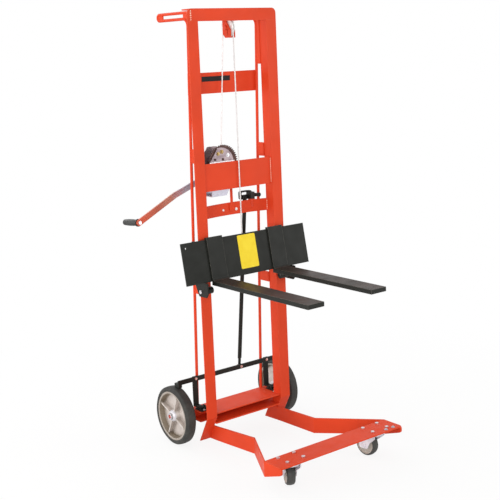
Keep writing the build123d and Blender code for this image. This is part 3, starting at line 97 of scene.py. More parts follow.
# Materials
class Graph:
    """Node material with a few short ways to add nodes."""

    def __init__(self, name):
        self.material = bpy.data.materials.new(name)
        self.material.use_nodes = True
        self.tree = self.material.node_tree
        self.nodes = self.tree.nodes
        self.shader = self.nodes["Principled BSDF"]
        self.place = self.nodes.new("ShaderNodeTexCoord").outputs["Object"]

    def put(self, socket, value):
        """Link a socket to another one, or set it to a value."""
        if isinstance(value, bpy.types.NodeSocket):
            self.tree.links.new(value, socket)
        elif socket.type == "RGBA":
            socket.default_value = (*value, 1)
        else:
            socket.default_value = value

    def set(self, **values):
        """Inputs of the shader, with _ for each space in a name."""
        for name, value in values.items():
            self.put(self.shader.inputs[name.replace("_", " ")], value)

    def noise(self, scale, detail=3.0):
        """Soft noise, with scale in waves to the metre."""
        node = self.nodes.new("ShaderNodeTexNoise")
        self.put(node.inputs["Vector"], self.place)
        self.put(node.inputs["Scale"], scale)
        self.put(node.inputs["Detail"], detail)
        return node.outputs[0]

    def calc(self, kind, first, second=0.0, clamp=False):
        """One sum with numbers."""
        node = self.nodes.new("ShaderNodeMath")
        node.operation = kind
        node.use_clamp = clamp
        self.put(node.inputs[0], first)
        self.put(node.inputs[1], second)
        return node.outputs[0]

    def vector(self, kind, first, second=(0, 0, 0)):
        """One sum with vectors."""
        node = self.nodes.new("ShaderNodeVectorMath")
        node.operation = kind
        self.put(node.inputs[0], first)
        self.put(node.inputs[1], second)
        return node.outputs["Value" if kind in ("LENGTH", "DOT_PRODUCT") else "Vector"]

    def mix(self, factor, first, second):
        """Colour between two others; the node's colours are its inputs 6 and 7 and its output 2."""
        node = self.nodes.new("ShaderNodeMix")
        node.data_type = "RGBA"
        self.put(node.inputs[0], factor)
        self.put(node.inputs[6], first)
        self.put(node.inputs[7], second)
        return node.outputs[2]

    def span(self, value, low, high, start, end):
        """From start to end while a value goes from low to high."""
        node = self.nodes.new("ShaderNodeMapRange")
        for index, item in enumerate((value, low, high, start, end)):
            self.put(node.inputs[index], item)
        return node.outputs[0]

    def patches(self, scale, start, end, low=0.3, high=0.7, detail=3.0):
        """Uneven patches with values from start to end."""
        return self.span(self.noise(scale, detail), low, high, start, end)

    def axis(self, index, vector=None):
        """One coordinate of a vector, or of the place on the piece."""
        node = self.nodes.new("ShaderNodeSeparateXYZ")
        self.put(node.inputs[0], vector or self.place)
        return node.outputs[index]

    def normal(self):
        """Normal of the surface as it is."""
        return self.nodes.new("ShaderNodeNewGeometry").outputs["Normal"]

    def rounded(self, radius):
        """Normal that turns smoothly over the edges."""
        node = self.nodes.new("ShaderNodeBevel")
        node.samples = 6
        self.put(node.inputs["Radius"], radius * MM)
        return node.outputs[0]

    def edges(self, rounded):
        """One where a rounded normal turns away from the surface's own, nought on flat faces."""
        bent = self.calc("SUBTRACT", 1.0, self.vector("DOT_PRODUCT", rounded, self.normal()))
        return self.calc("MULTIPLY", bent, 5.0, clamp=True)

    def facing_up(self):
        """One on faces that look up, nought on the others."""
        return self.span(self.axis(2, self.normal()), 0.7, 0.95, 0.0, 1.0)

    def crease_shade(self, reach):
        """One in tight corners of the piece, nought on open faces: the mask for painted shade there."""
        node = self.nodes.new("ShaderNodeAmbientOcclusion")
        node.only_local = True
        node.samples = 8
        self.put(node.inputs["Distance"], reach * MM)
        return self.calc("SUBTRACT", 1.0, node.outputs["AO"], clamp=True)

    def from_middle(self, name, kept):
        """Distance from the middle of a CAD node, along the kept axes only."""
        away = self.vector("SUBTRACT", self.place, middle(name))
        return self.vector("LENGTH", self.vector("MULTIPLY", away, kept))

    def bump(self, height, strength, distance, normal=None):
        """Normal that follows a height, on top of another normal if there is one."""
        node = self.nodes.new("ShaderNodeBump")
        self.put(node.inputs["Strength"], strength)
        self.put(node.inputs["Distance"], distance * MM)
        self.put(node.inputs["Height"], height)
        if normal is not None:
            self.put(node.inputs["Normal"], normal)
        return node.outputs[0]


def enamel(name, colour, edge_wear_and_highlight, roughness, sheen, top_sheen=None, edge_width=1.3):
    """Sprayed paint: slow change of tone, orange peel, paler on the edges as partly thin paint and partly a
    painted highlight, and where given a painted sheen on faces that look up.
    """
    g = Graph(name)
    dark = tuple(c * 0.86 for c in colour)
    normal = g.rounded(edge_width)
    # Edges turn paler, partly as thin paint and partly as a painted highlight.
    pale_edge_mask = g.calc("MULTIPLY", g.edges(normal), g.patches(60.0, 0.3, 0.8, 0.35, 0.65))
    tone = g.mix(g.patches(5.0, 0.0, 1.0), dark, colour)
    tone = g.mix(pale_edge_mask, tone, edge_wear_and_highlight)
    if top_sheen is not None:
        # Painted sheen: a brownish tone on faces that look up.
        tone = g.mix(g.calc("MULTIPLY", g.facing_up(), g.patches(14.0, 0.35, 0.9)), tone, top_sheen)
    rough = g.patches(25.0, roughness - 0.05, roughness + 0.07)
    peel = g.bump(g.noise(700.0, 2.0), 0.12, 0.15, normal)
    g.set(Base_Color=tone, Roughness=rough, Normal=peel, Specular_IOR_Level=sheen)
    return g.material


def bead_paint():
    """Paint on a weld bead: red, with a painted highlight on each ripple crest."""
    ripple = 9 * MM
    g = Graph("weld_enamel")
    wave = g.calc("SINE", g.calc("MULTIPLY", g.axis(2), 2 * math.pi / ripple))
    # Painted highlight on the crests of the ripples.
    pale = g.calc("MULTIPLY", g.span(wave, -0.5, 0.4, 0.0, 1.0), g.patches(70.0, 0.35, 1.0, 0.35, 0.6))
    tone = g.mix(pale, (0.80, 0.10, 0.04), (1.0, 0.72, 0.55))
    g.set(Base_Color=tone, Roughness=0.35, Normal=g.bump(g.noise(500.0, 2.0), 0.2, 0.2))
    return g.material


def plated(name, colour, tint, roughness, metallic=1.0, foot=None):
    """Zinc plate: two tones in clouds, fine brush marks, bright edges, and maybe a foot of another tone."""
    foot_top, foot_fade, foot_wander = 1130 * MM, 130 * MM, 80 * MM
    g = Graph(name)
    bright = tuple(min(1.0, c * 1.25) for c in colour)
    normal = g.rounded(0.7)
    tone = g.mix(g.patches(38.0, 0.0, 1.0, 0.35, 0.65, 4.0), colour, tint)
    if foot is not None:
        uneven = g.calc("ADD", g.axis(2), g.calc("MULTIPLY", g.noise(24.0), foot_wander))
        tone = g.mix(g.span(uneven, foot_top, foot_top + foot_fade, 1.0, 0.0), tone, foot)
    tone = g.mix(g.calc("MULTIPLY", g.edges(normal), 0.6), tone, bright)
    rough = g.patches(160.0, roughness - 0.07, roughness + 0.09)
    grain = g.bump(g.noise(900.0, 2.0), 0.15, 0.1, normal)
    g.set(Base_Color=tone, Metallic=metallic, Roughness=rough, Normal=grain)
    return g.material


def moulded(name, colour, pale, roughness, grain):
    """Rubber or plastic: matt, dusty in places."""
    g = Graph(name)
    normal = g.rounded(1.0)
    tone = g.mix(g.patches(22.0, 0.0, 0.7, 0.42, 0.72, 5.0), colour, pale)
    tone = g.mix(g.calc("MULTIPLY", g.edges(normal), 0.35), tone, pale)
    rough = g.patches(90.0, roughness - 0.08, roughness + 0.08)
    g.set(Base_Color=tone, Roughness=rough, Normal=g.bump(g.noise(420.0, 4.0), grain, 0.3, normal))
    return g.material


def casting():
    """As-cast aluminium hub: sandy skin, brown in the hollows near the rim, bright on boss and edges."""
    boss, barrel, rim = 24 * MM, 86 * MM, 97.5 * MM
    boss_fade, barrel_fade, rim_fade = 2 * MM, 6.5 * MM, 1.5 * MM
    g = Graph("cast_aluminium")
    cloud = g.patches(30.0, 0.0, 1.0, 0.35, 0.65, 4.0)
    normal = g.rounded(2.0)
    away = g.from_middle("hub_left", (0, 1, 1))
    past_barrel = g.span(away, barrel, barrel + barrel_fade, 0.0, 0.85)
    hollow = g.calc("MULTIPLY", past_barrel, g.span(away, rim, rim + rim_fade, 1.0, 0.6))
    tone = g.mix(cloud, (0.58, 0.515, 0.475), (0.72, 0.65, 0.61))
    tone = g.mix(hollow, tone, (0.21, 0.165, 0.105))
    # Painted shade: darker in the tight corners round the ribs and boss.
    tone = g.mix(g.calc("MULTIPLY", g.crease_shade(22), 0.8), tone, (0.16, 0.12, 0.085))
    tone = g.mix(g.span(away, boss, boss + boss_fade, 1.0, 0.0), tone, (0.72, 0.70, 0.74))
    tone = g.mix(g.calc("MULTIPLY", g.edges(normal), 0.7), tone, (0.90, 0.87, 0.82))
    sand = g.bump(g.noise(500.0, 4.0), 0.35, 0.4, normal)
    g.set(Base_Color=tone, Metallic=0.45, Roughness=g.span(cloud, 0, 1, 0.45, 0.6), Normal=sand)
    return g.material


def tyre_skin():
    """Solid tyre: matt dusty rubber with moulded rings on its sides."""
    ring_step = 5.5 * MM
    g = Graph("tyre_rubber")
    dust = g.patches(22.0, 0.0, 0.7, 0.42, 0.72, 5.0)
    tone = g.mix(dust, (0.026, 0.025, 0.022), (0.060, 0.056, 0.048))
    away = g.from_middle("tyre_left", (0, 1, 1))
    wave = g.calc("SINE", g.calc("MULTIPLY", away, 2 * math.pi / ring_step))
    rings = g.bump(g.span(wave, 0.55, 0.95, 0.0, 1.0), 0.35, 0.5, g.rounded(1.0))
    skin = g.bump(g.noise(420.0, 4.0), 0.4, 0.3, rings)
    g.set(Base_Color=tone, Roughness=g.patches(90.0, 0.62, 0.78), Normal=skin)
    return g.material


def crank_with_red_reflection():
    """Crank bar: zinc at the hub, then a painted reflection of the red frame, coppery and then red towards
    the far end.
    """
    zinc_end, copper_start, copper_end, red_start = 110 * MM, 170 * MM, 200 * MM, 340 * MM
    metal_end, wander = 300 * MM, 20 * MM
    g = Graph("crank_bar")
    reach = g.from_middle("pinion", (1, 0, 1))
    uneven = g.calc("ADD", reach, g.calc("MULTIPLY", g.noise(18.0), wander))
    normal = g.rounded(1.0)
    # Painted reflection of the red frame: coppery, then red towards the far end.
    coppery = g.span(uneven, zinc_end, copper_start, 0.0, 1.0)
    tone = g.mix(coppery, (0.52, 0.49, 0.55), (0.50, 0.24, 0.17))
    tone = g.mix(g.span(uneven, copper_end, red_start, 0.0, 1.0), tone, (0.62, 0.09, 0.035))
    tone = g.mix(g.calc("MULTIPLY", g.edges(normal), 0.5), tone, (0.78, 0.55, 0.45))
    metal = g.span(uneven, zinc_end, metal_end, 0.75, 0.15)
    grain = g.bump(g.noise(800.0, 2.0), 0.15, 0.1, normal)
    g.set(Base_Color=tone, Metallic=metal, Roughness=0.42, Normal=grain)
    return g.material


rope_radius = 2.72 * MM
rope_strands = 6
rope_lay = 38 * MM


def wire_rope(name, centre=None):
    """Galvanised rope; with a centre line, strands are drawn as a twist about it, with painted shade in the
    grooves between them.
    """
    g = Graph(name)
    tone = g.mix(g.patches(120.0, 0.0, 1.0, 0.35, 0.65), (0.80, 0.79, 0.78), (0.92, 0.91, 0.90))
    if centre is None:
        normal = g.bump(g.noise(1500.0, 2.0), 0.2, 0.1)
    else:
        sideways = g.calc("SUBTRACT", g.axis(0), centre.x)
        backward = g.calc("SUBTRACT", g.axis(1), centre.y)
        angle = g.calc("MULTIPLY", g.calc("ARCTAN2", backward, sideways), rope_strands)
        twist = g.calc("MULTIPLY", g.axis(2), 2 * math.pi * rope_strands / rope_lay)
        wave = g.calc("SINE", g.calc("ADD", angle, twist))
        # Painted shade: darker in the grooves between the strands.
        groove_shade = g.span(wave, -1.0, -0.3, 1.0, 0.0)
        tone = g.mix(g.calc("MULTIPLY", groove_shade, 0.4), tone, (0.36, 0.36, 0.35))
        normal = g.bump(wave, 0.8, 0.3)
    g.set(Base_Color=tone, Metallic=0.2, Roughness=0.45, Normal=normal)
    return g.material


def two_tone(name, near, far, axis, limit, zero=0.0):
    """Paint that changes at a distance along an axis, with a rough border."""
    border, wander = 3 * MM, 4 * MM
    g = Graph(name)
    away = g.calc("ABSOLUTE", g.calc("SUBTRACT", g.axis(axis), zero))
    uneven = g.calc("ADD", away, g.calc("MULTIPLY", g.noise(90.0), wander))
    tone = g.mix(g.span(uneven, limit * MM, limit * MM + border, 0.0, 1.0), near, far)
    tone = g.mix(g.patches(30.0, 0.8, 1.0), (0.02, 0.02, 0.02), tone)
    rough = g.patches(60.0, 0.38, 0.52)
    g.set(Base_Color=tone, Roughness=rough, Normal=g.rounded(1.0), Specular_IOR_Level=0.3)
    return g.material


def film(name, colour, faded, roughness):
    """Plain film with no print on it, slightly uneven."""
    g = Graph(name)
    tone = g.mix(g.patches(30.0, 0.0, 1.0), colour, faded)
    ripple = g.bump(g.noise(60.0, 2.0), 0.15, 0.2)
    g.set(Base_Color=tone, Roughness=roughness, Normal=ripple, Specular_IOR_Level=0.25)
    return g.material


frame_red = (0.80, 0.066, 0.019)
soft_black = (0.013, 0.014, 0.011)
bare_steel = (0.58, 0.57, 0.60)
# Colour of the painted sheen on the tops of the forks.
fork_top_sheen = (0.070, 0.046, 0.038)
pale_foot = (0.44, 0.425, 0.485)

red = enamel("red_enamel", frame_red, (0.92, 0.24, 0.12), 0.48, 0.16)
weld_red = bead_paint()
black = enamel("black_enamel", soft_black, (0.11, 0.105, 0.09), 0.5, 0.22)
# Forks: wide pale edges, partly wear and partly a painted highlight, and a painted brownish sheen on their
# tops.
fork_black = enamel("fork_enamel", soft_black, (0.30, 0.28, 0.24), 0.46, 0.22, fork_top_sheen, 2.4)
zinc = plated("bright_zinc", (0.62, 0.60, 0.63), (0.74, 0.73, 0.74), 0.34)
dull_zinc = plated("dull_zinc", (0.42, 0.40, 0.43), (0.55, 0.53, 0.55), 0.45)
gilt = plated("yellow_zinc", (0.50, 0.36, 0.14), (0.32, 0.22, 0.10), 0.36)
winch_zinc = plated("winch_zinc", (0.21, 0.160, 0.175), (0.36, 0.29, 0.30), 0.36, foot=pale_foot)
gear_brown = plated("gear_brown", (0.060, 0.024, 0.020), (0.105, 0.045, 0.034), 0.5, 0.35)
pink_zinc = plated("pink_zinc", (0.62, 0.36, 0.31), (0.74, 0.52, 0.48), 0.38)
sheave_zinc = plated("sheave_zinc", (0.80, 0.79, 0.78), (0.90, 0.89, 0.88), 0.4, 0.3)
caster_zinc = plated("caster_zinc", (0.74, 0.72, 0.78), (0.86, 0.84, 0.89), 0.4, 0.3)
cast = casting()
rubber = tyre_skin()
caster_rubber = moulded("caster_rubber", (0.035, 0.035, 0.032), (0.075, 0.073, 0.066), 0.6, 0.3)
caster_core = moulded("caster_core", (0.42, 0.39, 0.34), (0.56, 0.53, 0.47), 0.55, 0.2)
grip_plastic = moulded("grip_plastic", (0.018, 0.018, 0.017), (0.05, 0.05, 0.048), 0.5, 0.35)
crank_bar = crank_with_red_reflection()
rope_steel = wire_rope("rope_strands")
rope_straight = wire_rope("rope_straight", middle("front_cable"))
yellow = film("yellow_film", (0.90, 0.66, 0.015), (0.96, 0.74, 0.03), 0.45)
dark_film = film("dark_film", (0.006, 0.006, 0.006), (0.014, 0.013, 0.012), 0.6)
lever_paint = two_tone("lever_paint", frame_red, soft_black, 2, 1034)
pin_paint = two_tone("pin_paint", bare_steel, frame_red, 2, 1500)
axle_paint = two_tone("axle_paint", bare_steel, (0.62, 0.075, 0.035), 0, 297, mid_x)

# Names of CAD nodes under each material; one that ends in _ stands for all names that start so
painted = {
    red: "mast_ rear_rod_ leg_ rod_spacers top_rail upper_crossbar winch_crossbar lower_crossbar "
    "axle_channel front_plate sheave_bracket winch_strap",
    lever_paint: "lever_bracket",
    axle_paint: "axle",
    pin_paint: "frame_pins",
    black: "carriage_plate cable_anchor roller_brackets hand_lever brake_bar brake_feet "
    "pull_rod front_roller_ rear_roller_",
    fork_black: "fork_",
    zinc: "axle_collars caster_bolts crank_fasteners roller_bolts",
    caster_zinc: "caster_plates caster_yoke_",
    dull_zinc: "pawl ratchet_wheel pinion",
    pink_zinc: "rod_pin",
    sheave_zinc: "sheave",
    winch_zinc: "winch_frame drum drum_shaft",
    gear_brown: "drum_gear",
    crank_bar: "crank_arm",
    cast: "hub_",
    rubber: "tyre_",
    caster_rubber: "caster_tread_",
    caster_core: "caster_hub_",
    grip_plastic: "crank_grip",
    rope_steel: "upper_cable drum_winding",
    rope_straight: "front_cable",
}


def look(name):
    """Material of a CAD node: its own name first, then the start of it."""
    for material, names in painted.items():
        if name in names.split():
            return material
    for material, names in painted.items():
        if any(key.endswith("_") and name.startswith(key) for key in names.split()):
            return material
    return zinc


for name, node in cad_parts.items():
    node.data.materials.clear()
    node.data.materials.append(look(name))


# Ways to make the pieces that only the picture needs
def piece(name, points, faces, material, body, smooth=True):
    """Mesh from points and faces that moves with a body, or with none."""
    mesh = bpy.data.meshes.new(name)
    mesh.from_pydata([tuple(point) for point in points], [], faces)
    mesh.validate()
    mesh.materials.append(material)
    if smooth:
        mesh.shade_smooth()
    else:
        mesh.shade_flat()
    thing = bpy.data.objects.new(name, mesh)
    bpy.context.scene.collection.objects.link(thing)
    if body is not None:
        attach(thing, body)
    return thing


def skin(rows, sides):
    """Faces between rows of points that go round, with both ends closed."""
    faces = []
    for row in range(rows - 1):
        for step in range(sides):
            a = row * sides + step
            b = row * sides + (step + 1) % sides
            faces.append((a, b, b + sides, a + sides))
    faces.append(tuple(reversed(range(sides))))
    faces.append(tuple(range((rows - 1) * sides, rows * sides)))
    return faces


def tube(line, radii, sides, lobes=0, depth=0.0, lay=1.0):
    """Closed tube round a line of points, with lobes that turn along it."""
    points = []
    last = len(line) - 1
    ways = [(line[min(i + 1, last)] - line[max(i - 1, 0)]).normalized() for i in range(len(line))]
    across = ways[0].orthogonal().normalized()
    run = 0.0
    for index, centre in enumerate(line):
        way = ways[index]
        across = (across - way * across.dot(way)).normalized()
        other = way.cross(across)
        if index:
            run += (centre - line[index - 1]).length
        for step in range(sides):
            angle = 2 * math.pi * step / sides
            radius = radii[index]
            if lobes:
                twisted = lobes * (angle - 2 * math.pi * run / lay) / 2
                radius *= 1 - depth + depth * abs(math.cos(twisted))
            points.append(centre + (across * math.cos(angle) + other * math.sin(angle)) * radius)
    return points, skin(len(line), sides)


def spaced(line, step):
    """The same line with points at an even distance."""
    result, left = [line[0]], step
    for a, b in zip(line, line[1:]):
        length = (b - a).length
        done = 0.0
        while length - done >= left:
            done += left
            result.append(a.lerp(b, done / length))
            left = step
        left -= length - done
    return result


def weld(name, start, end, radius, material):
    """Rippled bead along a seam of the frame, half sunk in it, with thin ends."""
    step, ripple_turn, tail_steps, sides = 1.2 * MM, 0.42, 3, 8
    ripple_low, tail_low = 0.66, 0.35
    count = max(6, round((end - start).length / step))
    line = [start.lerp(end, i / count) for i in range(count + 1)]
    radii = []
    for i in range(count + 1):
        ripple = ripple_low + (1 - ripple_low) * abs(math.sin(i * ripple_turn))
        tail = tail_low + (1 - tail_low) * min(1.0, min(i, count - i) / tail_steps)
        radii.append(radius * MM * ripple * tail)
    points, faces = tube(line, radii, sides)
    piece(name, points, faces, material, "frame")


def turned(profile, start, way, sides=24):
    """Revolved (distance, radius) profile along a direction, in millimetres."""
    across = way.orthogonal().normalized()
    other = way.cross(across)
    points = []
    for distance, radius in profile:
        for step in range(sides):
            angle = 2 * math.pi * step / sides
            spoke = across * math.cos(angle) + other * math.sin(angle)
            points.append(start + (way * distance + spoke * radius) * MM)
    return points, skin(len(profile), sides)


def bolt(name, start, way, radius, height, body, material):
    """Washer and hexagon head seated on a face."""
    sunk, washer, chamfer, overlap = 0.3, 1.6, 0.3, 0.1
    washer_radius, washer_edge = radius * 1.45, radius * 1.38
    head_shoulder, head_edge = height * 0.8, radius * 0.86
    base = start - way * sunk * MM
    profile = [(0, washer_radius), (washer, washer_radius), (washer + chamfer, washer_edge)]
    points, faces = turned(profile, base, way)
    head_base = base + way * (washer - overlap) * MM
    head, more = turned([(0, radius), (head_shoulder, radius), (height, head_edge)], head_base, way, 6)
    faces += [tuple(index + len(points) for index in face) for face in more]
    piece(name, points + head, faces, material, body, smooth=False)


def sheet_plate(name, corner, up, size, radius, thick, material, body):
    """Rounded thin plate; corner is its lower left, on the face that carries it."""
    corner_steps = 6
    width, height = size
    out = right.cross(up).normalized()
    outline = []
    for x, z, start in [
        (width - radius, radius, -90),
        (width - radius, height - radius, 0),
        (radius, height - radius, 90),
        (radius, radius, 180),
    ]:
        for step in range(corner_steps + 1):
            angle = math.radians(start + 90 * step / corner_steps)
            outline.append((x + radius * math.cos(angle), z + radius * math.sin(angle)))
    back = [corner + (right * x + up * z) * MM for x, z in outline]
    front = [point + out * thick * MM for point in back]
    count = len(outline)
    faces = [tuple(range(count, 2 * count)), tuple(reversed(range(count)))]
    faces += [(i, (i + 1) % count, (i + 1) % count + count, i + count) for i in range(count)]
    piece(name, back + front, faces, material, body, smooth=False)


# Bare yellow plate on the carriage, and bare dark strip on the upper crossbar
plate_lean = Vector((0, 33, 172)).normalized()
label_corner = at(-42, -47, 735) + plate_lean * 26 * MM
sheet_plate("carriage_label", label_corner, plate_lean, (94, 143), 6, 0.6, yellow, "carriage")
bar_lean = Vector((0, -0.0443, 1)).normalized()
strip_corner = at(-110, 89.6, 1551)
sheet_plate("crossbar_strip", strip_corner, bar_lean, (147, 21), 1.5, 0.5, dark_film, "frame")


# Stranded rope in place of the plain cable between drum and sheave, and on the drum
def arc(centre, radius, start, end, count, first, second):
    """Points of an arc about a centre, with angles counted from the first direction to the second."""
    points = []
    for index in range(count + 1):
        angle = start + (end - start) * index / count
        points.append(centre + (first * math.cos(angle) + second * math.sin(angle)) * radius)
    return points


def eased(start, start_way, end, end_way, count):
    """Points of a smooth curve between two points with given directions, without its ends."""
    size = (end - start).length
    points = []
    for index in range(1, count):
        t = index / count
        ends = start * (2 * t**3 - 3 * t**2 + 1) + end * (3 * t**2 - 2 * t**3)
        points.append(ends + (start_way * (t**3 - 2 * t**2 + t) + end_way * (t**3 - t**2)) * size)
    return points


def stranded(name, line, step, sides, body):
    """Rope with round strands along a line."""
    groove_depth = 0.16
    line = spaced(line, step * MM)
    points, faces = tube(line, [rope_radius] * len(line), sides, rope_strands, groove_depth, rope_lay)
    return piece(name, points, faces, rope_steel, body)


drum, sheave = middle("drum_shaft"), middle("sheave")
drum_radius, sheave_radius = 25 * MM, 35 * MM
cable_low, cable_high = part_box("front_cable")
end_gap = 0.1 * MM
run_y = sheave.y + sheave_radius
run_angle = math.atan2(sheave.x - drum.x - drum_radius, sheave.z - drum.z)
run_way = Vector((math.sin(run_angle), 0, math.cos(run_angle)))
run_top = Vector((sheave.x, run_y, sheave.z)) - run_way * sheave_radius
wrap_start = math.pi / 6
wrap_way = Vector((0, -math.sin(wrap_start), math.cos(wrap_start)))
wrap = arc(sheave, sheave_radius, wrap_start, math.pi, 40, -forward, upward)
lead_centre = Vector((drum.x, run_y, drum.z))
lead = arc(lead_centre, drum_radius, -math.pi / 2 - run_angle, -run_angle, 20, right, upward)
rope_end = Vector((sheave.x, sheave.y - sheave_radius, cable_high.z + end_gap))
route = lead + [run_top] + eased(run_top, run_way, wrap[0], wrap_way, 12) + wrap + [rope_end]
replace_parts(stranded("upper_rope", route, 1.6, 24, "frame"), "upper_cable")

coil_turns, coil_pitch, turn_points = 6, 6.1 * MM, 60
coil_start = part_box("drum")[0].y + 3.35 * MM
coil = []
for step in range(coil_turns * turn_points + 1):
    turns = step / turn_points
    spoke = right * math.cos(2 * math.pi * turns) + upward * math.sin(2 * math.pi * turns)
    coil.append(Vector((drum.x, coil_start + coil_pitch * turns, drum.z)) + spoke * drum_radius)
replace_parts(stranded("drum_rope", coil, 1.9, 20, "drum"), "drum_winding")

# Cable from sheave to carriage, which gets shorter and longer with the lift
lift_steps, lift_sides = 300, 24
cable_middle = middle("front_cable")
cable_top = Vector((cable_middle.x, cable_middle.y, cable_high.z))
cable_foot = Vector((cable_middle.x, cable_middle.y, cable_low.z))
line = [cable_top.lerp(cable_foot, index / lift_steps) for index in range(lift_steps + 1)]
points, faces = tube(line, [rope_radius] * len(line), lift_sides)
lift_rope = piece("lift_rope", points, faces, rope_straight, None)
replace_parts(lift_rope, "front_cable")
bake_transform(lift_rope)

# Weld beads on both sides: name, start, end, radius and paint, with x counted outward
web_x = extent("mast_right")[0].x - 0.6
rod_x, rod_y = 173.6, 51.4
axle_y, axle_z = 148.2, 133.6
inset = 3
winch_low, winch_high = extent("winch_crossbar")
lower_low, lower_high = extent("lower_crossbar")
winch_y, winch_foot, winch_top = winch_low.y - 0.4, winch_low.z + inset, winch_high.z - inset
lower_y, lower_foot, lower_top = lower_low.y + 0.2, lower_low.z + inset, lower_high.z - inset
channel_top = extent("axle_channel")[1].z
rail_foot = extent("top_rail")[0].z
sheave_x = extent("sheave_bracket")[1].x + 0.2
beads = [
    ("winch_{}", (web_x, winch_y, winch_foot), (web_x, winch_y, winch_top), 3.2, weld_red),
    ("lower_{}", (web_x, lower_y, lower_foot), (web_x, lower_y, lower_top), 2.8, weld_red),
    ("channel_{}", (web_x, 12, channel_top), (web_x, 49, channel_top), 2.4, red),
    ("handle_{}", (rod_x, rod_y, 1806), (rod_x, rod_y, 1838), 2.0, red),
    ("spacer_a_{}", (rod_x, rod_y, 1219), (rod_x, rod_y, 1272), 1.9, red),
    ("spacer_b_{}", (rod_x, rod_y, 658), (rod_x, rod_y, 697), 1.9, red),
    ("sheave_{}", (sheave_x, 36, rail_foot), (sheave_x, 56, rail_foot), 1.8, red),
    ("axle_{}_0", (30, axle_y, axle_z), (66, axle_y, axle_z), 2.6, red),
    ("axle_{}_1", (120, axle_y, axle_z), (156, axle_y, axle_z), 2.6, red),
]
for side_name, side in both_sides:
    for name, (x0, y0, z0), (x1, y1, z1), radius, paint in beads:
        weld("weld_" + name.format(side_name), at(side * x0, y0, z0), at(side * x1, y1, z1), radius, paint)
weld("weld_corner_left", at(-211, 0.6, 1799), at(-211, 0.6, 1841), 3.4, weld_red)

# Bolts that the CAD has no piece for, and the lip of the winch frame
bolt("bolt_lower_a", at(25.5, 70.4, 999.5), forward, 4.6, 4, "frame", sheave_zinc)
bolt("bolt_lower_b", at(-44.8, 69.4, 1002), forward, 3.4, 3, "frame", sheave_zinc)
for index, x in enumerate((-196, 52, 196)):
    bolt(f"bolt_brake_{index}", at(x, 119, 277), forward, 4.4, 4, "brake", pink_zinc)
plate_top = extent("front_plate")[1].z
for index, x in enumerate((244, 284)):
    bolt(f"bolt_corner_{index}", at(x, -590, plate_top), upward, 5.5, 4, "frame", dull_zinc)
hinge_x = extent("brake_feet")[1].x
for name, side in both_sides:
    bolt(f"bolt_foot_{name}", at(side * 196, 68.5, 149), upward, 4.0, 3.5, "frame", zinc)
    hinge_end = at(side * hinge_x, 88, 157)
    bolt(f"bolt_hinge_{name}", hinge_end, right * side, 5.0, 4, "frame", black)
winch_face = extent("winch_frame")[0].y
winch_bolts = [
    ("a", -96, 1252, 5.5, 5, gilt),
    ("b", -77, 1259, 6.0, 5, gilt),
    ("c", -47, 1243, 6.2, 5, zinc),
    ("d", -113, 1229, 3.6, 3, gear_brown),
    ("e", -72, 1227, 3.6, 3, gear_brown),
]
for letter, x, z, radius, height, finish in winch_bolts:
    bolt(f"bolt_winch_{letter}", at(x, winch_face, z), forward, radius, height, "frame", finish)
lip_corner = at(-141, winch_face - 0.1, winch_high.z - 0.2)
sheet_plate("winch_lip", lip_corner, upward, (129, 4), 0.8, 1.2, zinc, "frame")

# Wide pressed legs over the yokes of the casters: height, both ends along the trail, side distance
leg_rows = [
    (49, -62, 20, 35.2),
    (41, -54, 24, 35.2),
    (25, -38, 25, 23.7),
    (0, -24, 25, 23.7),
    (-8, -21, 22, 23.7),
    (-12, -16, 17, 23.7),
    (-13, -12, 12, 23.7),
]


def pressed_leg(hub, trail, way):
    """Sheet on one side of a caster wheel."""
    wall = 1.4
    points = []
    for height, start, end, out in leg_rows:
        for along, away in ((start, out), (end, out), (end, out + wall), (start, out + wall)):
            points.append(hub + (trail * along + way * away + upward * height) * MM)
    faces = skin(len(leg_rows), 4)
    if trail.cross(way).z < 0:
        faces = [tuple(reversed(face)) for face in faces]
    return points, faces


swivel_x, swivel_y = 225, -544
for name, side in both_sides:
    hub = middle(f"caster_tread_{name}")
    swivel = at(side * swivel_x, swivel_y, 0)
    trail = Vector((hub.x - swivel.x, hub.y - swivel.y, 0)).normalized()
    for letter, way in (("a", upward.cross(trail)), ("b", trail.cross(upward))):
        points, faces = pressed_leg(hub, trail, way)
        leg_name, body = f"caster_leg_{name}_{letter}", f"caster_{name}"
        piece(leg_name, points, faces, caster_zinc, body, smooth=False)


# Floor, background and light
def shows_background(tree):
    """One for rays that show the background: from the camera, mirrored or through glass."""
    paths = tree.nodes.new("ShaderNodeLightPath").outputs
    result = paths["Is Camera Ray"]
    for path in ("Is Glossy Ray", "Is Transmission Ray"):
        either = tree.nodes.new("ShaderNodeMath")
        either.operation = "MAXIMUM"
        tree.links.new(result, either.inputs[0])
        tree.links.new(paths[path], either.inputs[1])
        result = either.outputs[0]
    return result


def shader_mix(tree, factor, first, second):
    """Shader between two others."""
    node = tree.nodes.new("ShaderNodeMixShader")
    for socket, value in zip(node.inputs, (factor, first, second)):
        tree.links.new(value, socket)
    return node.outputs[0]


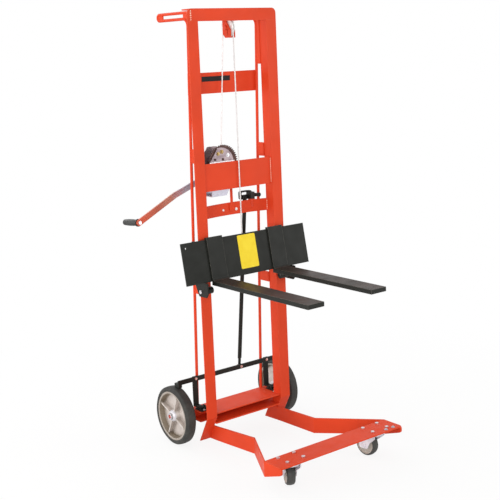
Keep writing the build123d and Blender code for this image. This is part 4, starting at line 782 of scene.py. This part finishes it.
floor_reach = 9
corners = [(-floor_reach, -floor_reach, 0), (floor_reach, -floor_reach, 0)]
corners += [(floor_reach, floor_reach, 0), (-floor_reach, floor_reach, 0)]
floor = bpy.data.objects.new("floor", bpy.data.meshes.new("floor"))
floor.data.from_pydata(corners, [], [(0, 1, 2, 3)])
bpy.context.scene.collection.objects.link(floor)
g = Graph("pale_floor")
grey = g.mix(g.noise(3.0), (0.55, 0.55, 0.55), (0.60, 0.60, 0.60))
g.set(Base_Color=grey, Roughness=0.8, Specular_IOR_Level=0.1)
bare = g.nodes.new("ShaderNodeBsdfDiffuse")
g.put(bare.inputs["Color"], (0.95, 0.95, 0.95))
glow = g.nodes.new("ShaderNodeEmission")
g.put(glow.inputs["Color"], (1, 1, 1))
fade = g.span(g.vector("LENGTH", g.place), 0.6, 2.2, 0.86, 1.0)
pale = shader_mix(g.tree, fade, bare.outputs[0], glow.outputs[0])
surface = shader_mix(g.tree, shows_background(g.tree), g.shader.outputs[0], pale)
g.put(g.nodes["Material Output"].inputs["Surface"], surface)
floor.data.materials.append(g.material)

world = bpy.data.worlds.new("white")
bpy.context.scene.world = world
world.use_nodes = True
tree = world.node_tree
sky = tree.nodes["Background"]
sky.inputs["Color"].default_value = (1.0, 0.99, 0.97, 1)
sky.inputs["Strength"].default_value = 0.72
white = tree.nodes.new("ShaderNodeBackground")
white.inputs["Color"].default_value = (1, 1, 1, 1)
white.inputs["Strength"].default_value = 1.0
surface = shader_mix(tree, shows_background(tree), sky.outputs[0], white.outputs[0])
tree.links.new(surface, tree.nodes["World Output"].inputs["Surface"])


def lamp(name, place, aim, size, power):
    """Soft square light."""
    data = bpy.data.lights.new(name, "AREA")
    data.size = size
    data.energy = power
    thing = bpy.data.objects.new(name, data)
    thing.location = place
    thing.rotation_euler = (aim - place).to_track_quat("-Z", "Y").to_euler()
    bpy.context.scene.collection.objects.link(thing)


lamp("key", at(-3700, -3300, 1300), at(0, 0, 600), 2.8, 92)
lamp("fill", at(3400, -3200, 1700), at(0, 0, 800), 2.8, 45)
lamp("rear", at(-600, 3400, 3000), at(0, 0, 900), 2.6, 40)
lamp("side", at(-4000, 1200, 1000), at(0, 0, 700), 2.4, 52)

bpy.context.scene.view_settings.view_transform = "Standard"
